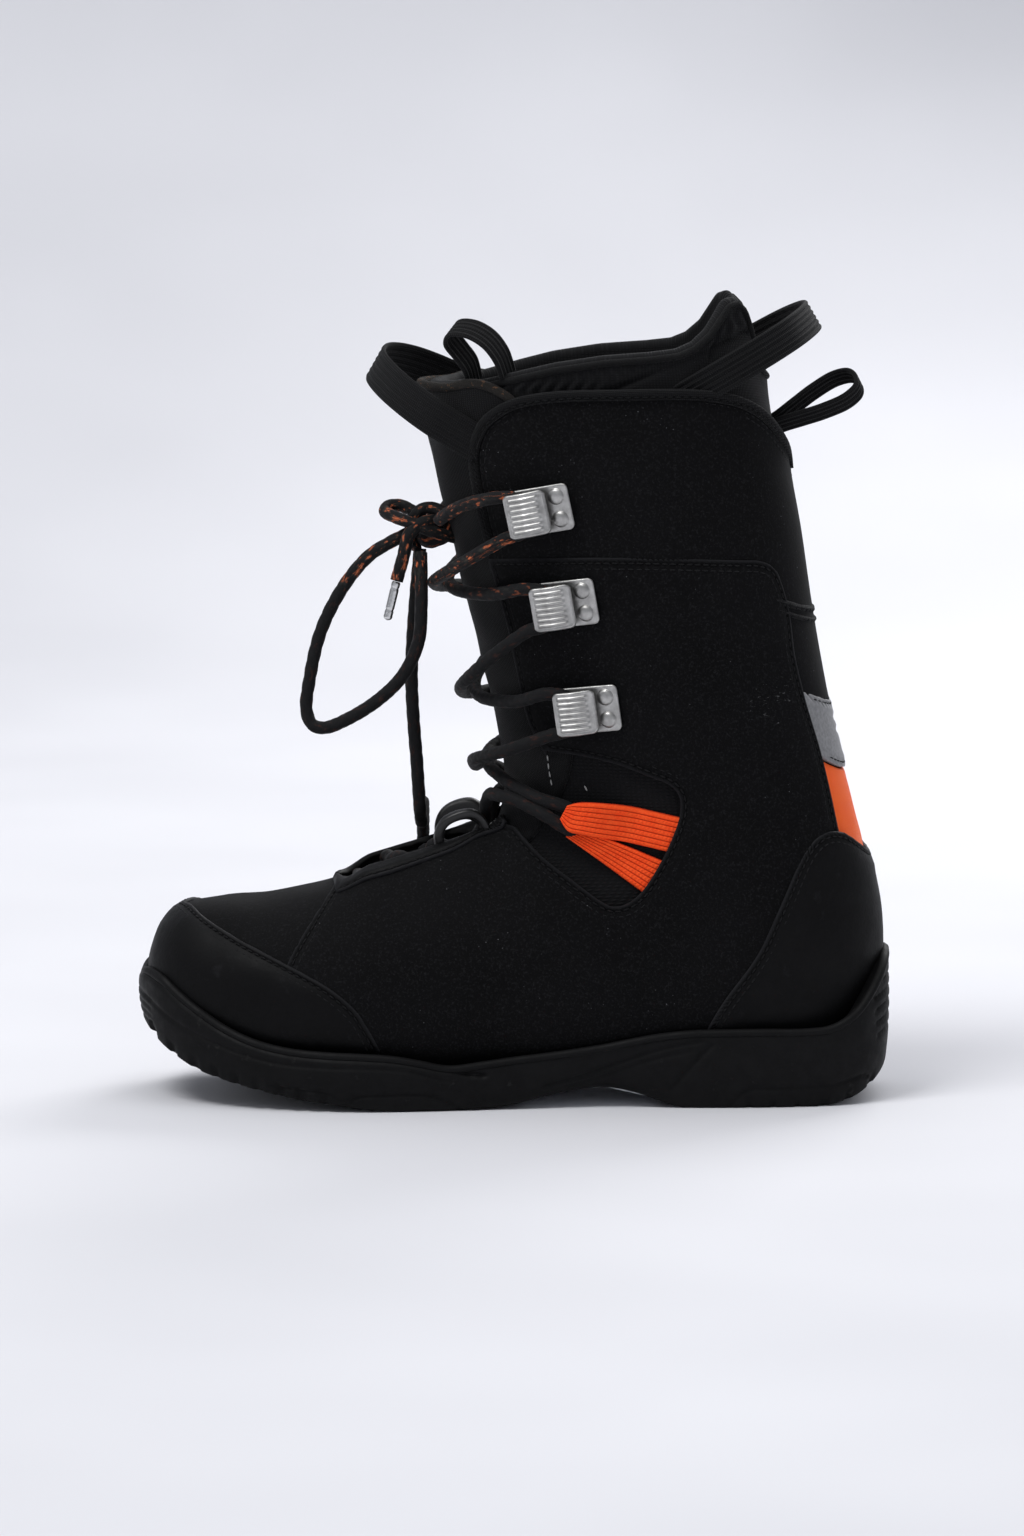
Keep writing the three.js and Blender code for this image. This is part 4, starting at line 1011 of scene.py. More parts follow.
def keep(obj, ride=None, replaces=(), slot=None):
    """Puts a finished piece on its body, or bakes it in place when it has no body, and hides the parts it
    replaces; slot is not used.
    """
    if ride is None:
        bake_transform(obj)
    else:
        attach(obj, ride)
    if replaces:
        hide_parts(*replaces)


SEAM_ROWS = (2.1, 4.4)      # the two rows of stitches beside most seams


def over_front(lateral, medial, count=14):
    """Joins two side lines that end at the same height, over the front or top of the boot."""
    v0, t0 = lateral[-1]
    v1, t1 = medial[-1]
    f = np.linspace(0, 1, count)[1:-1]
    bridge = np.stack([v0 + (v1 - v0) * f, t0 + (t1 - t0) * f], 1)
    return np.vstack([lateral, bridge, medial[::-1]])


def relaxed(line, times):
    """The same line of places, evened out."""
    made = line.copy()
    for _ in range(times):
        made[1:-1] = made[1:-1] * 0.5 + (made[:-2] + made[2:]) * 0.25
    return made


def shifted(line_mm, dx, dz):
    return [(x + dx, z + dz) for x, z in line_mm]


THREADS = {"lower": Part(), "shaft": Part(), "ankle": Part(), "pale": Part()}


def add_toe_cap():
    domain = DOMAINS[FRONT]
    lateral = in_places(TOE_CAP_SEAM[::-1], LATERAL, domain)
    medial = in_places(TOE_CAP_SEAM[::-1], MEDIAL, domain)
    seam = relaxed(over_front(lateral[:-2], medial[:-2], 22), 4)
    low = 0.22
    down = np.stack([np.linspace(seam[-1, 0], low, 60)[1:], np.full(59, seam[-1, 1])], 1)
    tip = across_t(low, seam[-1, 1], seam[0, 1], 12)[1:]
    up = np.stack([np.linspace(low, seam[0, 0], 60)[1:-1], np.full(58, seam[0, 1])], 1)
    outline = closed_line(seam, down, tip, up)
    cap = panel("toe_cap_leather", outline, FRONT, -0.3, 1.9, LEATHER, seams=[seam], rows=SEAM_ROWS,
                relief=soft_relief(0.022, 0.35 * MM), threads=THREADS["lower"])
    keep(cap, ride="lower", replaces=("toe_cap",), slot="smooth_leather")


def add_toe_box():
    domain = DOMAINS[FRONT]
    under_cap = shifted(TOE_CAP_SEAM[:8], -4.5, -3.5)[::-1]
    front = [in_places(under_cap, side, domain) for side in (LATERAL, MEDIAL)]
    front = relaxed(over_front(front[0][:-4], front[1][:-4], 22), 6)
    back_line = [(-86, 50), *shifted(TOE_BOX_SEAM, 6, 2)[::-1]]
    back = [in_places(back_line, side, domain) for side in (LATERAL, MEDIAL)]
    back = over_front(back[0], back[1], 16)
    outline = closed_line(front, back[::-1])
    made = panel("toe_box_softshell", outline, FRONT, -1.3, 1.3, NUBUCK,
                 relief=soft_relief(0.02, 0.5 * MM, 3.1))
    keep(made, ride="lower", replaces=("toe_box_panel",), slot="softshell")


UNDER_COUNTER = [
    (136, 104), (131, 103.5), (124, 103), (119, 97), (114, 87), (109, 76), (103, 63.5), (96, 53),
    (89, 44), (84, 36), (80, 22), (79, 14.5),
]
SOLE_HIDDEN = [(79, 14.5), (40, 14), (0, 14.6), (-30, 16.5), (-60, 20)]
UNDER_TOE_CAP = [(-60, 20), (-66, 31), (-72, 40), (-81, 46), (-91, 52)]


def add_side_panels():
    domain = DOMAINS[BACK]
    for name, side in SIDES:
        eye = in_places(EYESTAY_LINE, side, domain)
        cut_low = in_places(CUT_OUT_LINE[::-1][1:], side, domain, 1.5)
        front = in_places(SHAFT_FRONT_LINE, side, domain)
        top = in_places(MAIN_SEAM, side, domain)
        back = in_places(PANEL_BACK_LINE, side, domain)
        behind = in_places(UNDER_COUNTER, side, domain, 3)
        bottom = in_places(SOLE_HIDDEN, side, domain, 4)
        ahead = in_places(UNDER_TOE_CAP, side, domain, 3)
        toe_seam = in_places(TOE_BOX_SEAM[::-1], side, domain)
        cut_edge = np.vstack([cut_low, front[:1]])
        outline = closed_line(eye, cut_low, front, top, back, behind, bottom, ahead, toe_seam)
        seams = [cut_edge, front, top, back, toe_seam, eye]
        made = panel("side_panel_" + name, outline, BACK, -0.9, 1.8, NUBUCK, seams=seams, rows=SEAM_ROWS,
                     relief=soft_relief(0.03, 0.7 * MM, side * 1.7), threads=THREADS["ankle"])
        keep(made, replaces=("quarter_" + name, "shaft_panel_" + name), slot="softshell")


def add_eyestays():
    domain = DOMAINS[BACK]
    for name, side in SIDES:
        above = shifted(EYESTAY_LINE[1:-1], 0, 1.2)
        below = shifted(EYESTAY_LINE[1:-1][::-1], 0.6, -2.6)
        upper = in_places([(-73.5, 87.3), *above, (-6, 112.2), (-3.6, 114.6)], side, domain, 1.5)
        lower = in_places([(-2.4, 112.6), (-4, 109.4), *below, (-71.2, 83)], side, domain, 1.5)
        outline = closed_line(upper, lower)
        made = panel("eyestay_strip_" + name, outline, BACK, 0.6, 1.7, LEATHER, seams=[lower], rows=(1.5,),
                     spacing=1.6 * MM, round_edge=0.9, threads=THREADS["ankle"])
        keep(made, replaces=("eyestay_" + name,), slot="smooth_leather")


def add_heel_counter():
    domain = DOMAINS[BACK]
    lateral = in_places(COUNTER_SEAM, LATERAL, domain)
    medial = in_places(COUNTER_SEAM, MEDIAL, domain)
    top = relaxed(over_front(lateral, medial, 14), 8)
    bottom = across_t(top[0, 0], top[-1, 1], top[0, 1], 30)[1:-1]
    outline = closed_line(top, bottom)
    made = panel("heel_counter_leather", outline, BACK, 0.0, 1.8, LEATHER, seams=[top], rows=SEAM_ROWS,
                 relief=soft_relief(0.03, 0.5 * MM, 5.0), threads=THREADS["ankle"])
    keep(made, replaces=("heel_counter",), slot="smooth_leather")


CUFF_UNDER = [
    (-10.5, 213), (10, 214.5), (40, 215.5), (70, 215), (90, 213.5), (98, 210), (102.5, 203), (104.5, 190),
    (107, 177.5), (111.5, 166.8),
]
BADGE_TOP = 168.0
BADGE_LOW = 139.5
INSERT_LOW = 104.0


def back_patch(z_top, z_low, overlap):
    """The outline of a piece on the back seam between the side panels, under their edges by overlap."""
    domain = DOMAINS[BACK]
    line = smooth(PANEL_BACK_LINE[2:], 0.75)
    line = line[(line[:, 1] <= z_top) & (line[:, 1] >= z_low)] - (overlap, 0)
    sides = [places_of(line, side, domain) for side in (LATERAL, MEDIAL)]
    top = np.linspace(sides[1][0], sides[0][0], 20)[1:-1]
    low = np.linspace(sides[0][-1], sides[1][-1], 20)[1:-1]
    return closed_line(sides[0], low, sides[1][::-1], top), top, low


def add_back_pieces():
    outline, top, low = back_patch(BADGE_TOP, BADGE_LOW, 1.2)
    badge = panel("back_badge_patch", outline, BACK, -1.45, 1.9, BADGE, seams=[top[1:-1], low[1:-1]],
                  rows=(1.8,), relief=badge_relief, spacing=1.2 * MM, threads=THREADS["shaft"])
    keep(badge, ride="shaft", replaces=("back_badge",), slot="grey_badge")
    outline, _, _ = back_patch(BADGE_LOW + 3, INSERT_LOW, 5)
    insert = panel("back_insert_satin", outline, BACK, -2.3, 1.8, ORANGE_SATIN,
                   relief=soft_relief(0.014, 0.5 * MM, 2.0))
    keep(insert, replaces=("back_insert",), slot="orange_satin")


FOLD_TOP = 205.0
FOLD_LOW = 198.0


def add_back_fold():
    """Two turned edges of webbing across the back strip."""
    middle = (FOLD_TOP + FOLD_LOW) / 2
    for k, (top, low) in enumerate(((FOLD_TOP, middle + 0.3), (middle - 0.3, FOLD_LOW))):
        outline, _, _ = back_patch(top, low, 5)
        fold = panel("back_fold_" + str(k + 1), outline, BACK, -0.6, 1.9, BINDING, spacing=1.2 * MM,
                     round_edge=1.4)
        keep(fold, ride="shaft", slot="smooth_leather")


def badge_relief(points):
    """Three plain debossed bars."""
    rise = np.zeros(len(points))
    for z in (147.5, 152.5, 157.5):
        away = np.maximum(np.abs(points[:, 2] / MM - z) - 1.2, np.abs(points[:, 1] / MM) - 9)
        rise -= 0.7 * MM * np.clip(0.5 - away / 1.2, 0, 1)
    return rise


HEM_WIDTH = 4.6 * MM
HEM_SIDE = -1


def add_cuff():
    domain = DOMAINS[BACK]
    cuff_lines = (CUFF_FRONT_LINE, CUFF_TOP_LINE, CUFF_UNDER)
    front_l, top_l, under_l = (in_places(line, LATERAL, domain) for line in cuff_lines)
    front_m, top_m, under_m = (in_places(line, MEDIAL, domain) for line in cuff_lines)
    over = relaxed(over_front(top_l, top_m, 12), 4)
    low = across_t((under_l[-1, 0] + under_m[-1, 0]) / 2, under_m[-1, 1], under_l[-1, 1], 20)[1:-1]
    outline = closed_line(front_l, over, front_m[::-1], under_m, low, under_l[::-1])
    seams = [np.vstack([front_l, over[1:]]), front_m]
    made = panel("cuff_softshell", outline, BACK, -1.7, 1.7, NUBUCK, seams=seams, rows=(5.6, 7.6),
                 relief=soft_relief(0.035, 0.8 * MM, 8.0), threads=THREADS["shaft"])
    keep(made, ride="shaft", replaces=("cuff_wrap",), slot="softshell")
    hem = relaxed(np.vstack([front_l[6:], over[1:], front_m[::-1][:-6]]), 3)
    inner = inset(hem, HEM_WIDTH, closed=False, side=HEM_SIDE)
    binding = panel("cuff_binding", closed_line(hem, inner[::-1]), BACK, -0.3, 1.5, BINDING,
                    seams=[inner], rows=(1.2,), spacing=1.8 * MM, round_edge=1.0, threads=THREADS["shaft"])
    keep(binding, ride="shaft", replaces=("collar_binding",), slot="smooth_leather")


# ---- tongue, lining and liner ----
def place_on_line(t, line_mm, start):
    """For each t, the v where the surface crosses a side view line z(x) given in millimetres."""
    line = np.array(line_mm, float)
    v = np.linspace(start, LAST, 260)
    made = []
    for angle in t:
        p = skin(v, np.full(len(v), angle)) / MM
        above = p[:, 2] - np.interp(p[:, 0], line[:, 0], line[:, 1])
        over = np.nonzero(above > 0)[0]
        i = max(over[0], 1) if len(over) else len(v) - 1
        f = above[i - 1] / (above[i - 1] - above[i]) if above[i] != above[i - 1] else 0
        made.append(v[i - 1] + (v[i] - v[i - 1]) * min(max(f, 0), 1))
    return np.array(made)


def wall(name, t, v_low, v_top, outer, inner, material, rows=40, rim=6, relief=None, closed=True):
    """A soft wall that follows the boot between two lines, with a rounded rim along its top.

    outer and inner are how far its two faces stand above the boot's surface, in millimetres.
    """
    half = (outer - inner) / 2
    steps = 1 - (1 - np.linspace(0, 1, rows)) ** 1.8
    profile = [(f, outer, 0.0) for f in steps]
    for a in np.linspace(0, math.pi, rim + 2)[1:-1]:
        profile.append((1.0, (outer + inner) / 2 + half * math.cos(a), half * math.sin(a)))
    profile += [(f, inner, 0.0) for f in steps[::-1]]
    points, uv = [], []
    for f, height, lift in profile:
        v = v_low + (v_top - v_low) * f
        p, out = surface(v, t, 0)
        rise = np.full(len(t), height * MM)
        if relief is not None and height > inner + 0.01:
            rise = rise + relief(p, f)
        along, _ = skin_frame(v, t)
        points.append(p + out * rise[:, None] + unit(along) * lift * MM)
        uv.append(np.stack([p[:, 2], t * 0.05], 1))
    n, count = len(t), len(profile)
    faces = grid_faces(count, n, wrap=closed)
    for k in range(n if closed else n - 1):
        m = (k + 1) % n
        faces.append([(count - 1) * n + k, (count - 1) * n + m, m, k])
    if not closed:
        faces.append([r * n for r in range(count)])
        faces.append([r * n + n - 1 for r in range(count)][::-1])
    part = Part()
    part.add(np.vstack(points), faces, np.vstack(uv))
    obj = part.build(name, material)
    fix_normals(obj)
    return obj


def fix_normals(obj):
    mesh = bmesh.new()
    mesh.from_mesh(obj.data)
    bmesh.ops.recalc_face_normals(mesh, faces=mesh.faces)
    mesh.to_mesh(obj.data)
    mesh.free()


TONGUE_EDGE = [(-70, 78), (-58, 79), (-40, 83), (-22, 90), (-5, 99), (8, 110), (19, 128), (22, 142),
               (17, 155), (13, 170), (9, 190), (5, 205), (1, 219), (-3, 237), (-6, 255), (-4, 268), (2, 276)]
TONGUE_TOP = [(2, 276), (0, 282), (-6.5, 287), (-14, 289.8), (-20, 290), (-28, 287.5), (-37.5, 284)]


PIPING_SIDE = 1


def add_tongue():
    domain = DOMAINS[FRONT]
    edges = [in_places(TONGUE_EDGE, side, domain, 2.5) for side in (LATERAL, MEDIAL)]
    tops = [in_places(TONGUE_TOP[:-1], side, domain, 2.0) for side in (LATERAL, MEDIAL)]
    top = relaxed(over_front(tops[0], tops[1], 14), 3)
    toe = np.linspace(edges[1][0], edges[0][0], 24)[1:-1]
    outline = closed_line(edges[0], top, edges[1][::-1], toe)
    made = panel("tongue_cloth", outline, FRONT, -3.2, 1.9, TONGUE_CLOTH, seams=[top], rows=(6.5,),
                 relief=soft_relief(0.018, 0.9 * MM, 4.0), threads=THREADS["shaft"])
    keep(made, replaces=("tongue_lower", "tongue_flex", "tongue_upper"), slot="tongue_fabric")
    roll = surface(*inset(top, 0.6 * MM, closed=False, side=PIPING_SIDE).T, -2.2 * MM)[0]
    piping = tube("tongue_piping", roll, 1.9 * MM, FLECKED_BINDING, sides=14)
    keep(piping, ride="shaft", slot="tongue_fabric")


def tube(name, points, radius, material, sides=12, relief=None, part=None):
    """A round cord along a line of points: a piece of its own, or added to part."""
    p = np.asarray(points, float)
    tangent = unit(np.gradient(p, axis=0))
    side = np.cross(tangent[0], (0, 0, 1.0))
    if np.linalg.norm(side) < 0.1:
        side = np.cross(tangent[0], (0, 1.0, 0))
    side /= np.linalg.norm(side)
    at = np.concatenate([[0], np.cumsum(np.linalg.norm(np.diff(p, axis=0), axis=1))])
    angle = np.arange(sides) * 2 * math.pi / sides
    radii = np.broadcast_to(radius, len(p))
    rings, uv = [], []
    for i in range(len(p)):
        side = side - tangent[i] * (side @ tangent[i])
        side /= np.linalg.norm(side)
        r = np.full(sides, radii[i])
        if relief is not None:
            r = r + relief(angle, at[i])
        other = np.cross(tangent[i], side)
        rings.append(p[i] + np.outer(r * np.cos(angle), side) + np.outer(r * np.sin(angle), other))
        uv.append(np.stack([angle / (2 * math.pi) * 8, np.full(sides, at[i] / (0.9 * MM))], 1))
    faces = grid_faces(len(p), sides, wrap=True)
    points, uv = np.vstack([*rings, p[:1], p[-1:]]), np.vstack([*uv, uv[0][:1], uv[0][-1:]])
    first = len(points) - 2
    start = (len(p) - 1) * sides
    for k in range(sides):
        m = (k + 1) % sides
        faces.append([first, m, k])
        faces.append([first + 1, start + k, start + m])
    target = Part() if part is None else part
    target.add(points, faces, uv)
    return target.build(name, material) if part is None else None


def add_lining():
    t = np.linspace(0, 2 * math.pi, 121)[:-1]
    top = place_on_line(t, shifted([(-60, 270), *CUFF_TOP_LINE, (140, 240)], 0, -7), 16)
    low = np.full(len(t), 1.6)
    made = wall("lining_cloth", t, low, top, -3.3, -4.2, LINING, rows=70, rim=2)
    keep(made, replaces=("lining_lower", "lining_flex", "lining_shaft"), slot="lining_fabric")


LINER_RIM = [
    (-60, 281.5), (-30, 284.5), (-14, 288), (0, 291.5), (15, 295), (35, 298), (55, 299.5), (66, 300.8),
    (73, 303.5), (80, 309), (85, 315.5), (88.5, 320), (92, 321.2), (95.5, 318), (98.5, 310), (101, 300),
    (103, 294), (108, 289), (140, 285),
]
LINER_OUT = -4.6
LINER_IN = -10.9
TONGUE_TURN = 0.62          # how far round from the front the inner tongue reaches


def liner_relief(p, f):
    """Sewn channels and soft swells of the padded liner."""
    z = p[:, 2] / MM
    x = p[:, 0] / MM
    swell = np.array([noise.noise(Vector(q) / 0.03) for q in p]) * 0.5 * MM
    above_seam = z - (x * 0.40 + 272)
    waves = np.sin(x * 1.15 + 1.7 * np.sin(z * 0.62)) * np.clip(above_seam / 2.5 - 0.6, 0, 1)
    channel = np.exp(-(above_seam / 1.0) ** 2) * (x > 18)
    near_back = np.exp(-((x - (z * 0.42 - 47)) / 1.0) ** 2) * (z > 300)
    return (swell + 0.75 * MM * waves - 1.3 * MM * (channel + near_back)) * np.clip((1 - f) * 110, 0, 1)


def add_liner():
    t = np.linspace(math.pi + TONGUE_TURN, 3 * math.pi - TONGUE_TURN, 261)
    top = place_on_line(t, LINER_RIM, 16)
    low = np.full(len(t), 1.5)
    made = wall("liner_boot", t, low, top, LINER_OUT, LINER_IN, LINER, rows=150, rim=8,
                relief=liner_relief, closed=False)
    keep(made, replaces=("liner_foot", "liner_flex", "liner_shaft"), slot="liner_foam")
    reach = TONGUE_TURN + 0.10
    t = np.linspace(math.pi - reach, math.pi + reach, 41)
    top = place_on_line(t, shifted(LINER_RIM, 0, 1.5), 16)
    low = np.full(len(t), 12.5)
    tongue = wall("liner_tongue_pad", t, low, top, LINER_OUT - 0.2, LINER_IN - 0.5, LINER, rows=60, rim=8,
                  closed=False)
    keep(tongue, ride="shaft", replaces=("liner_tongue",), slot="liner_foam")
    t = np.linspace(math.pi + TONGUE_TURN, 3 * math.pi - TONGUE_TURN, 180)
    v = place_on_line(t, LINER_RIM, 16)
    rim = surface(v, t, (LINER_OUT - 0.3) * MM)[0]
    piping = tube("liner_piping", rim, 1.5 * MM, BINDING, sides=12)
    keep(piping, ride="shaft", slot="liner_foam")


# ---- sole ----
# x, half width, bottom z, top z and sideways middle of the sole, in millimetres.
SOLE = np.array([
    [-152.4, 0.0, 35, 50, 7], [-151.6, 11, 32, 51.5, 7], [-149.5, 20, 29, 52.5, 7], [-143, 33, 23, 50.5, 6.5],
    [-136, 40, 18.5, 45.5, 6], [-128, 45, 14.5, 40, 5.2], [-116, 50, 10.8, 33, 4], [-104, 53.3, 8, 28.3, 2.5],
    [-90, 55.8, 5.2, 25.4, 1.4], [-75, 57.3, 3, 24.2, 0.5], [-61, 57.5, 1.2, 23.6, 0.2],
    [-48, 56.5, 0, 22.6, 0], [-37, 55.3, 0, 20.6, 0], [-26, 53.5, 0, 18.4, 0], [-12, 51.8, 0.6, 19.8, 0],
    [0, 50.5, 2, 21.4, 0], [18, 49, 6.2, 23.5, 0], [36, 48, 8.2, 26.2, 0], [47, 47.7, 6.4, 28.4, 0],
    [56, 47.5, 3.6, 30, 0], [64, 47.3, 0.9, 31, 0], [72, 47, 0, 31.6, 0], [100, 46, 0, 32, 0],
    [118, 43.5, 0, 31.8, 0], [128, 41.3, 0.6, 33, 0], [138, 36.9, 3.4, 38.5, 0], [145, 30.2, 7.4, 46.5, 0],
    [149.6, 22, 11.6, 54, 0], [151.8, 12, 15, 59, 0], [152.4, 0.0, 17, 60.5, 0],
])
SOLE_STEP = 1.25
WALL_ROWS = 34
RECESS = 2.6                # how far the underside lies above the tread, in millimetres


def sole_rim():
    """The rim of the sole in plan, from the toe tip down the outer side and back up the inner side."""
    half = smooth(SOLE[:, :2] * (1, -1), SOLE_STEP)
    x = half[:, 0]
    mid = np.interp(x, SOLE[:, 0], SOLE[:, 4])
    lateral = np.stack([x, half[:, 1] + mid], 1)
    medial = np.stack([x, -half[:, 1] + mid], 1)[::-1][1:-1]
    return np.vstack([lateral, medial]), len(lateral)


def sole_levels(x):
    """Bottom and top of the sole at each x, as smooth curves."""
    fine = smooth(SOLE[:, [0, 2, 3]], 1.0)
    return np.interp(x, fine[:, 0], fine[:, 1]), np.interp(x, fine[:, 0], fine[:, 2])


def line_distance(x, z, line):
    """Distance in the side view from points to a line of points."""
    best = np.full(len(x), 1e9)
    line = np.array(line, float)
    for (x0, z0), (x1, z1) in zip(line[:-1], line[1:]):
        dx, dz = x1 - x0, z1 - z0
        f = np.clip(((x - x0) * dx + (z - z0) * dz) / (dx * dx + dz * dz), 0, 1)
        best = np.minimum(best, np.hypot(x - x0 - f * dx, z - z0 - f * dz))
    return best


# Incised lines of the side wall (x, z), each with its depth and width.
SOLE_LINES = [
    (smooth([(-151, 43), (-146, 40), (-138, 34.5), (-128, 29.5), (-112, 23.4), (-96, 19.6), (-76, 18),
             (-56, 17.6), (-44, 16.6), (-34, 14), (-27, 12.2)], 2.0), 0.55, 0.8),
    (smooth([(-40, 23.5), (-33, 20.6), (-26, 17.4), (-19, 15), (-12, 14)], 1.5), 1.5, 0.9),
    (smooth([(12, 9.5), (26, 13), (42, 18.4), (58, 23.6), (75, 27.3)], 2.0), 0.9, 0.9),
    (smooth([(22, 9.5), (34, 12.6), (48, 17.4), (60, 21), (70, 23)], 2.0), 0.7, 1.0),
    (smooth([(79, 26), (72, 18.5), (62.5, 7.5)], 2.0), 1.1, 1.0),
    (smooth([(-97, 10.2), (-84, 8.6), (-74.5, 7.6), (-69, 4.6)], 1.5), 0.8, 0.7),
    (smooth([(-66, 2.4), (-64.2, 5.6), (-50, 6.8), (-38, 6.8), (-30, 5.4), (-21, 0.6)], 1.5), 0.8, 0.7),
    (smooth([(86, 0.6), (92.5, 6.9), (105, 7.8), (119, 8.1), (131, 9.3), (140, 11.6), (143.5, 11)], 1.5),
     0.8, 0.7),
]


def sole_relief(x, z, low, high):
    """How far each point of the side wall stands out, in millimetres."""
    out = np.zeros(len(x))
    for line, depth, width in SOLE_LINES:
        out -= depth * np.exp(-(line_distance(x, z, line) / width) ** 2)
    bumper = 1 / (1 + np.exp((x + 24 + (z - 14) * 0.9) / 1.4))
    out += 0.9 * bumper
    arch = np.exp(-((x - 40) / 24) ** 2) * np.clip((high - z) / (high - low + 1e-6), 0, 1)
    out -= 3.4 * arch
    for k in range(5):
        line = [(147 - k * 0.4, 27 + 5 * k), (153.5, 30.5 + 5 * k)]
        out -= 0.9 * np.exp(-(line_distance(x, z, line) / 0.8) ** 2)
    for k in range(4):
        line = [(-153.5, 37.2 + 3.0 * k - 3), (-146.5, 34.0 + 3.0 * k - 3)]
        out -= 0.55 * np.exp(-(line_distance(x, z, line) / 0.6) ** 2)
    notch = (x < -70) * np.clip(1 - (z - low) / 6.5, 0, 1)
    out -= 2.2 * notch * (np.sin(x * 0.72) > 0.45)
    rear = (x > 88) * np.clip(1 - (z - low) / 5.0, 0, 1)
    out -= 1.6 * rear * (np.sin(x * 0.62) > 0.6)
    return out


def add_sole():
    rim, per_side = sole_rim()
    n = len(rim)
    x = rim[:, 0]
    run = np.roll(rim, -1, axis=0) - np.roll(rim, 1, axis=0)
    run /= np.linalg.norm(run, axis=1)[:, None]
    normal = np.stack([run[:, 1], -run[:, 0]], 1)
    if np.sum(normal * (rim - rim.mean(0))) < 0:
        normal = -normal
    low, high = sole_levels(x)
    part = Part()
    rows = [(-13.0, low + RECESS), (-7.5, low + RECESS), (-6.8, low + RECESS * 0.8), (-6.6, low + 0.2),
            (-5.8, low), (-3.4, low), (-2.2, low + 0.25)]
    wall_rows = []
    for f in np.linspace(0, 1, WALL_ROWS):
        belly = -1.7 * (1 - f) ** 3 - 0.9 * f ** 2
        wall_rows.append((belly, low + 0.9 + (high - 3.4 - low) * f))
    bead = []
    for a in np.linspace(-0.5, math.pi * 0.86, 9):
        bead.append((-2.6 + 2.1 * math.cos(a), high - 2.1 + 2.1 * math.sin(a)))
    lip = [(-6.0, high - 1.4), (-8.0, high - 3.0), (-9.0, np.maximum(high - 12, low + 8)), (-11, low + 8)]
    points, uv = [], []
    for j, (out, z) in enumerate(rows + wall_rows + bead + lip):
        out = np.broadcast_to(out, (n,)).astype(float)
        z = np.broadcast_to(z, (n,)).astype(float)
        if len(rows) <= j < len(rows) + len(wall_rows):
            f = (j - len(rows)) / (len(wall_rows) - 1)
            edge = min(1.0, f / 0.06, (1 - f) / 0.08)
            relief = sole_relief(x, z, low, high)
            out = out + relief * (edge if f > 0.5 else 1.0)
        elif j < len(rows) and j >= 3:
            out = out + sole_relief(x, z, low, high) * 0.6
        squeeze = np.clip(np.abs(rim[:, 1] - np.interp(x, SOLE[:, 0], SOLE[:, 4])) / 14, 0.25, 1)
        inward = np.where(out < -3, out * squeeze + (squeeze - 1) * 3, out)
        p = rim + normal * inward[:, None]
        points.append(np.column_stack([p, z]) * MM)
        uv.append(np.column_stack([x * MM, z * MM]))
    part.add(np.vstack(points), grid_faces(len(points), n, wrap=True), np.vstack(uv))
    for start in (0, (len(points) - 1) * n):
        for k in range(1, per_side - 1):
            opposite = (n - k) % n
            after = (n - k - 1) % n
            if k + 1 < per_side - 1:
                part.faces.append([start + k, start + k + 1, start + after, start + opposite])
            else:
                part.faces.append([start + k, start + k + 1, start + opposite])
        part.faces.append([start, start + 1, start + n - 1])
    obj = part.build("sole_cup", RUBBER)
    fix_normals(obj)
    keep(obj, ride="lower", replaces=("midsole_cup",), slot="sole_rubber")


LUG_CORNER = 1.2
LUG_SIZE = (7.4, 9.6)
LUG_TURN = 0.35
LUG_PITCH = (10.5, 13.0)


def block(part, centre, size, turn, height, slope):
    """Adds a tread lug: a tapered block with bevelled edges, its foot down."""
    ca, sa = math.cos(turn), math.sin(turn)
    rings = []
    for inset_by, z in ((0.0, height), (0.25, 0.7), (0.7, 0.0)):
        w, l = size[0] / 2 - inset_by, size[1] / 2 - inset_by
        u, v = w - LUG_CORNER, l - LUG_CORNER
        ring = [(-u, -l), (u, -l), (w, -v), (w, v), (u, l), (-u, l), (-w, v), (-w, -v)]
        rings.append([(centre[0] + a * ca - b * sa, centre[1] + a * sa + b * ca,
                       centre[2] + z + (a * ca - b * sa) * slope) for a, b in ring])
    part.add(np.vstack(rings) * MM, closed_tube_faces(len(rings), len(rings[0])))


TREADS = (("outsole_toe_pad", -138, -92), ("outsole_forefoot_pad", -86, -16), ("outsole_heel_pad", 74, 136))


def add_treads():
    """Rows of lugs under the toe, the forefoot and the heel, in a staggered pattern."""
    pitch_x, pitch_y = LUG_PITCH
    for node, x0, x1 in TREADS:
        part = Part()
        count = int(round((x1 - x0) / pitch_x))
        for i in range(count + 1):
            x = x0 + (x1 - x0) * i / count
            low, _ = sole_levels(np.array([x - 2, x + 2]))
            slope = (low[1] - low[0]) / 4
            wide = np.interp(x, SOLE[:, 0], SOLE[:, 1]) - 11
            mid = np.interp(x, SOLE[:, 0], SOLE[:, 4])
            offset = pitch_y / 2 if i % 2 else 0
            for k in range(-6, 7):
                y = k * pitch_y + offset
                turn = LUG_TURN if (i + k) % 2 else -LUG_TURN
                if abs(y) < wide - 3:
                    block(part, (x, y + mid, low.mean()), LUG_SIZE, turn, RECESS + 0.6, slope)
        obj = part.build("tread" + node[7:], TREAD, smooth_faces=False)
        fix_normals(obj)
        keep(obj, ride="lower", replaces=(node,), slot="tread_rubber")
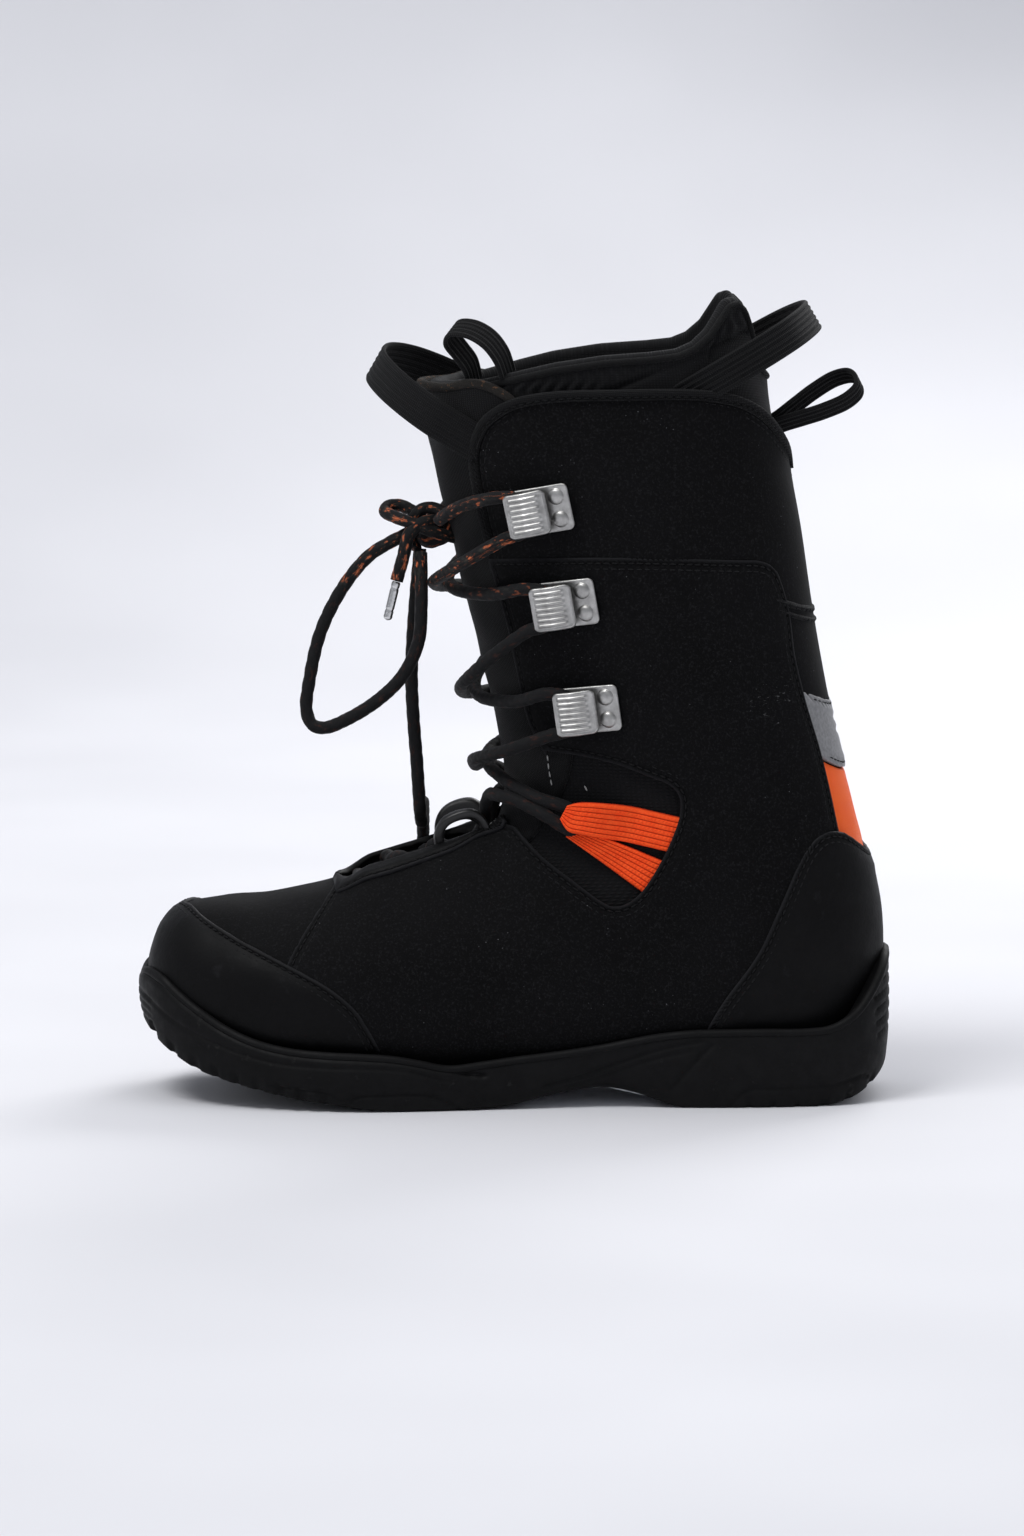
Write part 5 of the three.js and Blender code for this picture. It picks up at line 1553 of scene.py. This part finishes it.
# ---- lace hooks ----
HOOK_LENGTH = 25.0
HOOK_HEIGHT = 18.0
HOOK_METAL = 1.2
HOOK_CHANNEL = 6.2
HOOK_FLAP = 16.6
HOOK_NECK = 8.4
HOOK_NECK_IN = 2.0
HOOK_CORNER = 2.4
RIB_PITCH = 2.15
RIVET_R = 3.1
RIVET_SPREAD = 4.6
RIVET_IN = 5.2
SHAFT_ROUND = 60            # about the radius of the shaft under the hooks
LIP = 3.4                   # how far the flap dips towards the base along its rear edge
LIP_LENGTH = 9.5
HOOKS = (("top", 11.3, 240.4, 12), ("middle", 21.4, 203.3, 10), ("lower", 30.5, 160.6, 8))


def surface_frame(x, z, side, offset, turn):
    """A frame on the boot, as its axes and its origin: X back along it, Y up along it, Z outwards."""
    v, t = locate([(x * MM, z * MM)], side)
    origin, out = surface(v, t, offset * MM)
    out = out[0]
    back = np.array([math.cos(math.radians(turn)), 0, math.sin(math.radians(turn))])
    back = back - out * (back @ out)
    back /= np.linalg.norm(back)
    return np.stack([back, np.cross(out, back), out]), origin[0]


def placed(points_mm, frame):
    """Points of a frame, in millimetres, as points of the boot."""
    axes, origin = frame
    return np.asarray(points_mm, float) * MM @ axes + origin


def hook_frame(side, place):
    stand = HOOK_LENGTH ** 2 / (8 * SHAFT_ROUND) + 0.5
    return surface_frame(place[1], place[2], side, stand, place[3])


LATHE_SIDES = 24


def lathe(part, profile, frame):
    """Adds a round solid, from a profile of (radius, height), about a frame's Z axis."""
    points = []
    for r, h in profile:
        for a in np.arange(LATHE_SIDES) * 2 * math.pi / LATHE_SIDES:
            points.append((r * math.cos(a), r * math.sin(a), h))
    part.add(placed(points, frame), closed_tube_faces(len(profile), LATHE_SIDES))


def rib_height(x, y):
    """The flap's lengthwise ribs."""
    ribs = (np.cos(2 * math.pi * y / RIB_PITCH) * 0.5 + 0.5) * (np.abs(y) < RIB_PITCH * 3.5)
    start, end = -HOOK_LENGTH / 2 + 1.6, -HOOK_LENGTH / 2 + HOOK_FLAP - 2.5
    ends = np.clip((x - start) / 0.9, 0, 1) * np.clip((end - x) / 0.9, 0, 1)
    return 0.75 * ribs * ends


PLATE_COLUMNS = 64
PLATE_ROWS = 53


def add_plate(part, frame, x0, x1, half, level, relief=None):
    """Adds a stamped plate with rounded corners and edges, and a relief on its outer face."""
    bend = np.linspace(-math.pi / 2, math.pi / 2, PLATE_COLUMNS)
    x = (x0 + x1) / 2 + (x1 - x0) / 2 * (0.35 * np.sin(bend) + 0.65 * bend / (math.pi / 2))
    reach = np.minimum(x - x0, x1 - x)
    d = np.clip(HOOK_CORNER - reach, 0, HOOK_CORNER)
    wide = half - HOOK_CORNER + np.sqrt(HOOK_CORNER ** 2 - d * d)
    bend = np.linspace(-math.pi / 2, math.pi / 2, PLATE_ROWS)
    y = wide[:, None] * (0.25 * np.sin(bend) + 0.75 * bend / (math.pi / 2))[None, :]
    grid_x = np.broadcast_to(x[:, None], y.shape)
    edge = np.minimum(wide[:, None] - np.abs(y), reach[:, None])
    swell = np.sqrt(np.clip(1 - (1 - np.clip(edge / 0.6, 0, 1)) ** 2, 0, 1)) * HOOK_METAL / 2
    rise = swell.copy()
    if relief is not None:
        rise += relief(grid_x, y) + 0.28 * np.exp(-((edge - 0.8) / 0.42) ** 2)
    middle = level + HOOK_METAL / 2
    if relief is not None:
        dip = np.clip((grid_x - (x1 - LIP_LENGTH)) / LIP_LENGTH, 0, 1)
        middle = middle - LIP * dip ** 1.4
    top = np.stack([grid_x, y, middle + rise], 2).reshape(-1, 3)
    low = np.stack([grid_x, y, middle - swell], 2).reshape(-1, 3)
    part.add(placed(np.vstack([top, low]), frame), slab_faces(PLATE_COLUMNS, PLATE_ROWS))


def slab_faces(rows, columns):
    """The faces of two grids of points, one under the other, and of the rim between them."""
    count = rows * columns
    faces = grid_faces(rows, columns)
    loop = ([k for k in range(columns)] + [r * columns + columns - 1 for r in range(1, rows)]
            + [(rows - 1) * columns + k for k in range(columns - 2, -1, -1)]
            + [r * columns for r in range(rows - 2, 0, -1)])
    rim = [[b, a, a + count, b + count] for a, b in zip(loop, loop[1:] + loop[:1])]
    return faces + [[i + count for i in face[::-1]] for face in faces] + rim


def add_neck(part, frame):
    """Adds the narrow neck between a hook's base and its flap, flared into both."""
    points = []
    levels = np.linspace(HOOK_METAL / 2, HOOK_METAL * 1.5 + HOOK_CHANNEL, 15)
    angle = np.arange(28) * 2 * math.pi / 28
    cx = -HOOK_LENGTH / 2 + HOOK_NECK_IN
    for z in levels:
        from_end = min(z - levels[0], levels[-1] - z)
        flare = 1.1 * math.exp(-from_end / 0.9)
        for a in angle:
            c, s = math.cos(a), math.sin(a)
            points.append((cx + (HOOK_METAL / 2 + flare * 0.6) * np.sign(c) * abs(c) ** 0.4,
                           (HOOK_NECK / 2 + flare) * np.sign(s) * abs(s) ** 0.4, z))
    part.add(placed(points, frame), closed_tube_faces(len(levels), len(angle)))


def add_hooks():
    dome = [(RIVET_R + 0.3, 0.9), (RIVET_R + 0.3, 1.3), (RIVET_R, 1.4)]
    dome += [(RIVET_R * math.cos(a), 1.4 + 1.3 * math.sin(a)) for a in np.linspace(0.2, 1.5, 8)]
    for name, side in SIDES:
        for place in HOOKS:
            frame = hook_frame(side, place)
            part = Part()
            front = -HOOK_LENGTH / 2
            level = HOOK_METAL + HOOK_CHANNEL
            add_plate(part, frame, front + 1, HOOK_LENGTH / 2, HOOK_HEIGHT / 2 + 0.4, 0)
            add_plate(part, frame, front, front + HOOK_FLAP, HOOK_HEIGHT / 2, level, rib_height)
            add_neck(part, frame)
            for y in (-RIVET_SPREAD, RIVET_SPREAD):
                origin = placed([(HOOK_LENGTH / 2 - RIVET_IN, y, 0)], frame)[0]
                lathe(part, dome, (frame[0], origin))
            hook = part.build("hook_" + name + "_" + place[0], STEEL)
            fix_normals(hook)
            keep(hook, ride="shaft", replaces=("lace_hook_" + name + "_" + place[0],),
                 slot="hook_steel")


# ---- knitted ankle webbing ----
KNIT_ROWS = 7
KNIT_PITCH = 1.55
# Each strap: its upper and lower edges in the side view, from its fold to its sewn end, and how high it
# lies at the fold and at the end, in millimetres.
STRAPS = (
    ([(25.6, 111.9), (36, 108.6), (48, 103.7), (60, 98.8), (66, 96.3)],
     [(20.6, 108.4), (29, 102.6), (39, 95.4), (51, 86.7), (54.5, 84.2)], 1.0, -2.6, 1.3),
    ([(22.6, 121.4), (26.5, 122.8), (32, 123.2), (42, 122), (54, 119.4), (70.5, 115.8)],
     [(19.8, 115.6), (22.6, 110.6), (28, 109.4), (44, 106.6), (60, 103), (66.5, 101.2)], 4.6, -2.3, 1.6),
)


def knit_relief(run, across):
    """Rows of knitted loops: run is along the strap in stitches, across in rows."""
    row = across - np.floor(across) - 0.5
    loop = np.cos(2 * math.pi * (run - np.abs(row) * 1.15))
    valley = np.exp(-((np.abs(row) - 0.5) / 0.1) ** 2)
    return 0.30 * (0.5 + 0.5 * loop) * np.cos(math.pi * row) ** 0.5 - 0.34 * valley


def smooth_step(value, low, high):
    f = np.clip((value - low) / (high - low), 0, 1)
    return f * f * (3 - 2 * f)


def add_knit_strap(part, side, edges, top_height, end_height, thick):
    """Adds a strap of knitted webbing between two edges, from its fold to its sewn end."""
    count = 150
    f = np.linspace(0, 1, count)
    columns = KNIT_ROWS * 9 + 1
    g = np.linspace(0, 1, columns)
    lines = []
    for edge in (smooth(edge, 0.3) for edge in edges):
        at = np.linspace(0, 1, len(edge))
        lines.append(np.stack([np.interp(f, at, edge[:, k]) for k in (0, 1)], 1))
    length = np.linalg.norm(np.diff((lines[0] + lines[1]) / 2, axis=0), axis=1).sum()
    mesh = lines[0][:, None] * (1 - g)[None, :, None] + lines[1][:, None] * g[None, :, None]
    v, t = locate(mesh.reshape(-1, 2) * MM, side)
    base, out = surface(v, t, 0)
    run = np.repeat(f * length / KNIT_PITCH, columns)
    across = np.tile(g * KNIT_ROWS, count)
    level = end_height + (top_height - end_height) * (1 - smooth_step(np.repeat(f, columns), 0.16, 0.6))
    edge = np.minimum(np.tile(np.minimum(g, 1 - g), count) * 13, np.repeat(f, columns) * length)
    swell = np.sqrt(np.clip(1 - (1 - np.clip(edge / 1.3, 0, 1)) ** 2, 0, 1))
    rise = thick * swell + knit_relief(run, across) * swell
    top = base + out * (level + rise)[:, None] * MM
    under = base + out * (level - 0.2)[:, None] * MM
    uv = np.stack([run, across], 1)
    part.add(np.vstack([top, under]), slab_faces(count, columns), np.vstack([uv, uv]))


def add_harness():
    for name, side in SIDES:
        part = Part()
        for upper, lower, top_height, end_height, thick in STRAPS:
            add_knit_strap(part, side, (upper, lower), top_height, end_height, thick)
        straps = part.build("ankle_webbing_" + name, ORANGE_KNIT)
        fix_normals(straps)
        keep(straps, replaces=("ankle_harness_" + name,), slot="orange_knit")


# ---- laces ----
LACE_D = 5.2
LACE_R = LACE_D / 2
UNDER = LACE_R + 1.5
OVER = UNDER + LACE_D + 0.5
WEBBING_RISE = 1.7          # where the lace lies in the loop of the ankle webbing
EYELET_RISE = -1.2          # and where it goes under an eyestay
CLOSE = 2.9                 # the lower lace lies close to the tongue,
CROSSED = 4.4               # and this much higher where it crosses the other half
EYELETS = ((-20, 104), (-34, 98.5), (-50, 92.3), (-64, 88))
CROSSINGS = (209, 166, 136, 127, 101, 95.5, 90)


def hook_pass(side, place):
    """The lace's way in under a hook's flap, round its neck and out again."""
    half = [(-16, 8.4), (-12, 7.9), (-8, 6.7), (-6.4, 3.2)]
    route = half + [(x, -y) for x, y in half[::-1]]
    rise = HOOK_METAL + HOOK_CHANNEL / 2
    return placed([(x, -side * y, rise) for x, y in route], hook_frame(side, place))


def side_view(point):
    return (point[0] / MM, point[2] / MM, math.copysign(1, point[1]))


def across_front(start, end, height, rise, edge_rise=None):
    """Points over the front of the boot, between side view places on opposite sides.

    They stand rise above the surface, or edge_rise at the sides where it is given.
    """
    v0, t0 = (a[0] for a in locate([(start[0] * MM, start[1] * MM)], start[2]))
    v1, t1 = (a[0] for a in locate([(end[0] * MM, end[1] * MM)], end[2]))
    rows = np.linspace(1, LAST, 2000)
    middle = np.interp(height * MM, station(rows)[:, 1], rows)
    finish = t1 + (-2 * math.pi if t0 < 0 else 2 * math.pi)
    f = np.array([0.12, 0.35, 0.5, 0.65, 0.88])
    v = v0 * (1 - f) * (1 - 2 * f) + middle * 4 * f * (1 - f) + v1 * f * (2 * f - 1)
    if edge_rise is not None:
        rise = edge_rise + (rise - edge_rise) * 4 * f * (1 - f)
    return surface(v, t0 + f * (finish - t0), np.broadcast_to(rise, f.shape) * MM)[0]


KNOT_TO_MEDIAL = ((-31.8, 6, 235.2), (-29.8, 15, 235.2))


def lace_half(side, rises):
    """One half of the lace, in three stretches from the knot down."""
    top, middle, lower = (hook_pass(-side if k == 1 else side, place) for k, place in enumerate(HOOKS))
    knot_side = np.reshape(KNOT_TO_MEDIAL if side == MEDIAL else (), (-1, 3)) * MM
    upper = np.vstack([
        knot_side, on_boot([(-25.5, 235), (-21.5, 239), (-14.5, 243)], side, UNDER + 1), top,
        across_front(side_view(top[-1]), side_view(middle[0]), CROSSINGS[0], rises[0]), middle,
        across_front(side_view(middle[-1]), side_view(lower[0]), CROSSINGS[1], rises[1]), lower,
    ])
    flex = across_front(side_view(lower[-1]), (22, 119.8, -side), CROSSINGS[2], rises[2])
    low = [on_boot([(22.8, 119.4), (26, 115.6), (23.6, 111.2)], -side, WEBBING_RISE)]
    ends = [(21, 110.6), *EYELETS[:3]]
    runs = [(x, z, side if k % 2 else -side) for k, (x, z) in enumerate(ends)]
    for k in (1, 2, 3):
        edge = UNDER - 1 if k == 1 else EYELET_RISE
        rise = CLOSE if rises[2 + k] == UNDER else CLOSE + CROSSED
        low.append(across_front(runs[k - 1], runs[k], CROSSINGS[2 + k], rise, edge))
        x, z = EYELETS[k - 1]
        low.append(on_boot([(x - 3, z - 2.4)], side if k % 2 else -side, EYELET_RISE))
    if side == LATERAL:
        x, z = EYELETS[3]
        low.append(on_boot([(x + 2, z - 2.5)], side, EYELET_RISE))
        low.append(across_front((x, z, side), (x, z, -side), CROSSINGS[6], CLOSE, EYELET_RISE))
    return upper, flex, np.vstack(low)


def braid(angle, at):
    """The plaits of a round braid, as a change of its radius."""
    turn = 2 * math.pi * at / (6.4 * MM)
    crossed = np.maximum(np.cos(4 * angle + turn), np.cos(4 * angle - turn))
    return 0.13 * MM * (crossed - 0.45)


def lace_tube(name, points_m):
    line = settled(smooth(np.asarray(points_m) / MM, 0.75) * MM)
    part = Part()
    tube(name, line, LACE_R * MM, LACE, sides=20, relief=braid, part=part)
    return part.build(name, LACE, settle=False), line


def add_tied_laces():
    """The laced part: each half from the knot to its last eyelet."""
    halves = {
        "lateral": lace_half(LATERAL, (OVER, UNDER, OVER + 0.8, UNDER, OVER, UNDER)),
        "medial": lace_half(MEDIAL, (UNDER, OVER, UNDER + 0.8, OVER, UNDER, OVER)),
    }
    for name, (upper, flex, low) in halves.items():
        whole = np.vstack([upper, flex, low])
        made, _ = lace_tube("lace_" + name, whole)
        keep(made, slot="lace_cord",
             replaces=tuple("lace_" + stretch + "_" + name for stretch in ("upper", "flex", "lower")))


# The free lace from the knot, as listed points, in millimetres.
BOW_LOOP = [
    (-43, -7, 227.5), (-50, -8, 224), (-58.4, -9, 218.7), (-68.5, -9, 206.6), (-77.8, -8, 188.4),
    (-82.6, -7, 168.2), (-83.8, -7, 156.1), (-81.4, -8, 150.4), (-76.6, -9, 149.2), (-66.5, -11, 153.3),
    (-54.3, -13, 161.3), (-44.8, -14, 171), (-38.6, -15, 184.4), (-37.4, -15, 198.5), (-37.4, -14, 212.7),
    (-37.6, -11, 220),
]
LONG_STRAND = [
    (-38, -1, 221), (-39.5, -2, 205), (-41, -3, 185), (-41.5, -3, 168), (-40.5, -2, 148), (-38.8, 0, 128),
    (-38, 3, 119.5), (-37.5, 10, 114.5), (-37.3, 19, 112), (-37.3, 28, 106.5), (-37.4, 36, 99.5),
    (-37.6, 40.5, 92),
]
SHORT_STRAND = [
    (-31.5, -9.5, 233), (-36, -12, 232.5), (-40, -13, 230), (-42.5, -13, 227), (-44.5, -13.5, 219),
    (-47.3, -13.5, 209),
]
AGLETS = (
    ("aglet_short", (-47.4, -13.5, 208.6), (-51.1, -13.6, 193.3), "shaft"),
    ("aglet_long", (-37.7, 40.8, 91.5), (-38, 45.6, 77), "lower"),
)
AGLET_LENGTH = 16.0
# The turns of the knot: a bight, the wrap round it, and the tails that run back to the hooks.
KNOT_TURNS = (
    [(-24, -6, 226), (-30, -10.5, 227.5), (-37, -12.5, 230.5), (-44, -11, 233), (-49, -8, 234.6),
     (-52, -4, 236.2), (-50.6, -0.5, 238), (-47, 0.5, 238.4), (-42.6, -0.5, 237), (-39, -2.5, 234.6),
     (-35, -3, 231), (-32, -1.5, 227)],
    [(-41, -4.5, 226.5), (-41.5, -7.5, 231.5), (-38.6, -8, 236.2), (-35, -8, 238), (-30.7, -9.5, 237.3),
     (-27, -12, 236.2), (-23, -16, 236.4)],
    [(-24, 10, 236.5), (-28.5, 6.5, 235.5), (-33.5, 4.5, 232.6), (-36.5, 2.5, 228.6), (-36.5, -2.5, 225),
     (-33, -7.5, 224.2), (-27.5, -8, 226.8), (-25.5, -5, 231)],
    [(-40, -2, 221), (-39.8, 0.5, 225.5), (-35, 1.5, 227.5), (-30, 0, 229.5), (-27.5, -3, 233),
     (-31, -5.5, 235)],
)


def add_aglets():
    """The metal tips: a rolled sheath with two crimps and a round end."""
    made = {}
    for name, start, end, body in AGLETS:
        a, b = np.array(start), np.array(end)
        b = a + (b - a) / np.linalg.norm(b - a) * AGLET_LENGTH
        f = np.linspace(0, 1, 49)
        r = np.full(len(f), 1.8)
        r[:2] = (1.5, 1.72)
        for crimp in (0.16, 0.72):
            r -= 0.22 * np.exp(-((f - crimp) / 0.03) ** 2)
        r[-4:] = (1.7, 1.5, 1.1, 0.4)
        line = (a + (b - a) * f[:, None]) * MM
        aglet = tube(name + "_metal", line, r * MM, CHROME, sides=20)
        keep(aglet, ride=body, replaces=(name,), slot="aglet_metal")
        made[name] = aglet
    return made


def add_free_laces():
    """The knot, the bow's loop and the two loose ends."""
    aglets = add_aglets()
    part = Part()
    for route in KNOT_TURNS:
        line = smooth(route, 0.6) * MM
        tube("knot", line, (LACE_R - 0.05) * MM, LACE, sides=20, relief=braid, part=part)
    knot = part.build("bow_knot", LACE)
    keep(knot, ride="shaft", replaces=("lace_knot",), slot="lace_cord")
    add_cord("bow_loop", BOW_LOOP, "lace_bow_loop", ride="shaft")
    add_cord("long_lace_end", LONG_STRAND, "lace_long_strand")
    add_cord("short_lace_end", SHORT_STRAND, "lace_short_strand",
             ride="shaft")


def add_cord(name, route, node, ride=None):
    """A free stretch of the lace, along its given points."""
    cord, line = lace_tube(name, np.array(route) * MM)
    keep(cord, ride=ride, replaces=(node,), slot="lace_cord")


# ---- webbing loops and guides ----
BAND_THICK = 1.9
# Each loop: its path in its own plane, its width, its origin, its forward and sideways directions, its
# number of ribs and the body that it swings with.
LOOPS = {
    "tongue_pull_loop": (
        [(-14, -40.4), (-8, -39.6), (0, -38.6), (9, -37), (20, -31), (30, -22), (37, -10), (38, 3), (34, 16),
         (25, 28), (13, 36), (3, 39), (-5, 39.8), (-11, 40.4)],
        15, (-22, 0.9, 277.6), (-0.872, 0, 0.49), (0.085, 0.985, 0.15), 6, "tongue_loop"),
    "liner_front_loop": (
        [(-0.5, -9), (0, 0), (1, 6), (5, 13), (12, 17), (19.5, 16.5), (22, 12), (19, 6), (16, 0),
         (15.5, -9)], 12, (-3.5, -39.5, 296), (-0.893, 0.45, 0.06), (0, -0.56, 0.829), 5, "front_loop"),
    "liner_rear_loop": (
        [(-14, -46.4), (-8, -46.4), (-2, -46.5), (4, -46.8), (14, -47.5), (27, -45.5), (39, -37),
         (47.5, -20), (50.5, 0), (47.5, 20), (39, 37), (27, 45.5), (14, 47.5), (4, 46.8), (-2, 46.5),
         (-8, 46.4), (-14, 46.4)], 13, (76, 0, 289.5), (0.85, 0, 0.5), (0, 1, 0), 6, "rear_loop"),
    "heel_pull_loop": (
        [(-6, -1.4), (0, -1.8), (8, -3.8), (18, -6.2), (28, -7), (34, -4.5), (35.5, 0), (34, 4.5), (28, 7),
         (18, 6.2), (8, 3.8), (0, 1.8), (-6, 1.4)],
        9, (106.5, 0, 272), (0.886, 0, 0.463), (0, 0.7, 0.7), 4, "heel_loop"),
}


def band_section(width, ribs, thick):
    """The outline of ribbed webbing, cut across: (across, through) in millimetres."""
    count = 8 * ribs + 1
    y = np.linspace(-1, 1, count)
    edge = np.clip((1 - np.abs(y)) * width / 2 / 0.8, 0, 1)
    rib = 0.2 * (np.cos(math.pi * (y + 1) * ribs + math.pi) - 1) * edge
    rise = thick / 2 * np.sqrt(1 - (1 - edge) ** 2) + rib
    top = np.stack([y * width / 2, np.maximum(rise, 0.05)], 1)
    low = np.stack([y * width / 2, -np.maximum(rise, 0.05)], 1)[::-1]
    return np.vstack([top, low])


def add_band(name, path, width, origin, forward, sideways, ribs, body):
    """A ribbed webbing loop bent in one plane."""
    f = np.array(forward, float)
    f /= np.linalg.norm(f)
    s = np.array(sideways, float)
    s -= f * (s @ f)
    s /= np.linalg.norm(s)
    wide = np.cross(f, s)
    line = smooth(path, 1.0)
    run = unit(np.gradient(line, axis=0))
    section = band_section(width, ribs, BAND_THICK)
    points, uv = [], []
    for k, ((x, y), (dx, dy)) in enumerate(zip(line, run)):
        centre = np.array(origin) + x * f + y * s
        through = -dy * f + dx * s
        points.append((centre + section[:, :1] * wide + section[:, 1:] * through) * MM)
        uv.append(np.stack([np.full(len(section), k * 1.0), section[:, 0]], 1) * MM)
    part = Part()
    part.add(np.vstack(points), closed_tube_faces(len(line), len(section)), np.vstack(uv))
    band = part.build("webbing_" + name, WEBBING)
    fix_normals(band)
    keep(band, ride=body, replaces=(name,), slot="webbing")


def add_loops():
    for name, values in LOOPS.items():
        add_band(name, *values)


GUIDE_ARCH = [(-10, 0.6), (-9.2, 4.6), (-5.5, 8), (0, 9), (5.5, 8), (9.2, 4.6), (10, 0.6)]


def add_lace_guides():
    """A moulded arch on each lower eyestay, which the lace runs under."""
    for name, side in SIDES:
        frame = surface_frame(-20, 102, side, 1.2, 22)
        line = smooth(GUIDE_ARCH, 0.6)
        run = unit(np.gradient(line, axis=0))
        angle = np.arange(24) * 2 * math.pi / 24
        section = np.stack([3.0 * np.sign(np.cos(angle)) * np.abs(np.cos(angle)) ** 0.5,
                            1.9 * np.sign(np.sin(angle)) * np.abs(np.sin(angle)) ** 0.5], 1)
        points = []
        for (x, z), (dx, dz) in zip(line, run):
            points.append([(x - dz * b, a, z + dx * b) for a, b in section])
        part = Part()
        part.add(placed(np.vstack(points), frame), closed_tube_faces(len(line), len(section)))
        guide = part.build("moulded_guide_" + name, GUIDE)
        fix_normals(guide)
        keep(guide, ride="lower", replaces=("lace_guide_" + name,), slot="guide_plastic")


# ---- small trims ----
BAR_TACKS = ([(12.6, 141), (13.4, 134), (14.6, 128)], [(26.8, 130.6), (28.2, 127.8), (29.6, 125.2)])
EYESTAY_TIP = [(-9.5, 108.6), (-7, 110), (-4.6, 111.6)]


def add_trims():
    """Pale bar tacks on the inner cloth of the cut-outs, and pale stitches at the eyestays' tips."""
    part = THREADS["pale"]
    for _, side in SIDES:
        for line in BAR_TACKS:
            stitch_along(part, places_of(smooth(line, 0.5), side, DOMAINS[BACK]), -0.9)
        stitch_along(part, places_of(smooth(EYESTAY_TIP, 0.5), side, DOMAINS[BACK]), 2.2)


CARRIED = {"arch_shank": SHANK, "heel_cushion": CUSHION_FOAM, "lasting_board": BOARD, "footbed": FOOTBED}


def finish_carried_nodes():
    for name, material in CARRIED.items():
        mesh = frame["nodes"][name].data
        mesh.materials.clear()
        mesh.materials.append(material)


add_toe_cap()
add_toe_box()
add_side_panels()
add_eyestays()
add_heel_counter()
add_back_pieces()
add_back_fold()
add_cuff()
add_tongue()
add_lining()
add_liner()
add_sole()
add_treads()
add_hooks()
add_harness()
add_tied_laces()
add_free_laces()
add_loops()
add_lace_guides()
add_trims()
finish_carried_nodes()
THREAD_BODIES = {"lower": "lower", "shaft": "shaft", "ankle": None, "pale": None}
for thread_name, thread_part in THREADS.items():
    thread_look = PALE_THREAD if thread_name == "pale" else THREAD
    keep(thread_part.build("stitches_" + thread_name, thread_look), ride=THREAD_BODIES[thread_name])


# ---- floor and light ----
def add_stage():
    floor = Part()
    size, bend = 3.0, 1.4
    profile = [(-2.6, 0.0), (1.2, 0.0)]
    for a in np.linspace(0.1, math.pi / 2, 14):
        profile.append((1.2 + bend * math.sin(a), bend - bend * math.cos(a)))
    profile += [(1.2 + bend, 3.6)]
    for y, z in profile:
        floor.add([(-size, y, z), (size, y, z)], [])
    faces = [[2 * i, 2 * i + 1, 2 * i + 3, 2 * i + 2] for i in range(len(profile) - 1)]
    floor.faces = faces
    look = Look("floor_paper", 0.9, specular=0.1)
    cloud = look.noise(3, 2)
    look.colour(look.mix(look.spread(cloud, 0.3, 0.7), (0.70, 0.70, 0.73), (0.76, 0.76, 0.79)))
    floor.build("floor", look.material)


def add_light(name, place, target, size, power):
    data = bpy.data.lights.new(name, "AREA")
    data.shape = "RECTANGLE"
    data.size, data.size_y = size
    data.energy = power
    light = bpy.data.objects.new(name, data)
    light.location = place
    light.rotation_mode = "QUATERNION"
    light.rotation_quaternion = (Vector(target) - Vector(place)).to_track_quat("-Z", "Y")
    bpy.context.scene.collection.objects.link(light)


def add_lights():
    add_light("key", (-0.9, -0.9, 2.3), (0, 0, 0.15), (1.0, 1.0), 33)
    add_light("top", (0.2, 0.3, 2.4), (0, 0, 0.1), (1.8, 1.8), 14)
    add_light("rim", (0.8, 1.5, 1.2), (0, 0, 0.2), (1.0, 0.8), 18)
    world = bpy.data.worlds.new("studio")
    world.use_nodes = True
    background = world.node_tree.nodes["Background"]
    background.inputs["Color"].default_value = (0.9, 0.93, 1.0, 1.0)
    background.inputs["Strength"].default_value = 0.46
    bpy.context.scene.world = world
    bpy.context.scene.view_settings.view_transform = "Standard"


add_stage()
add_lights()
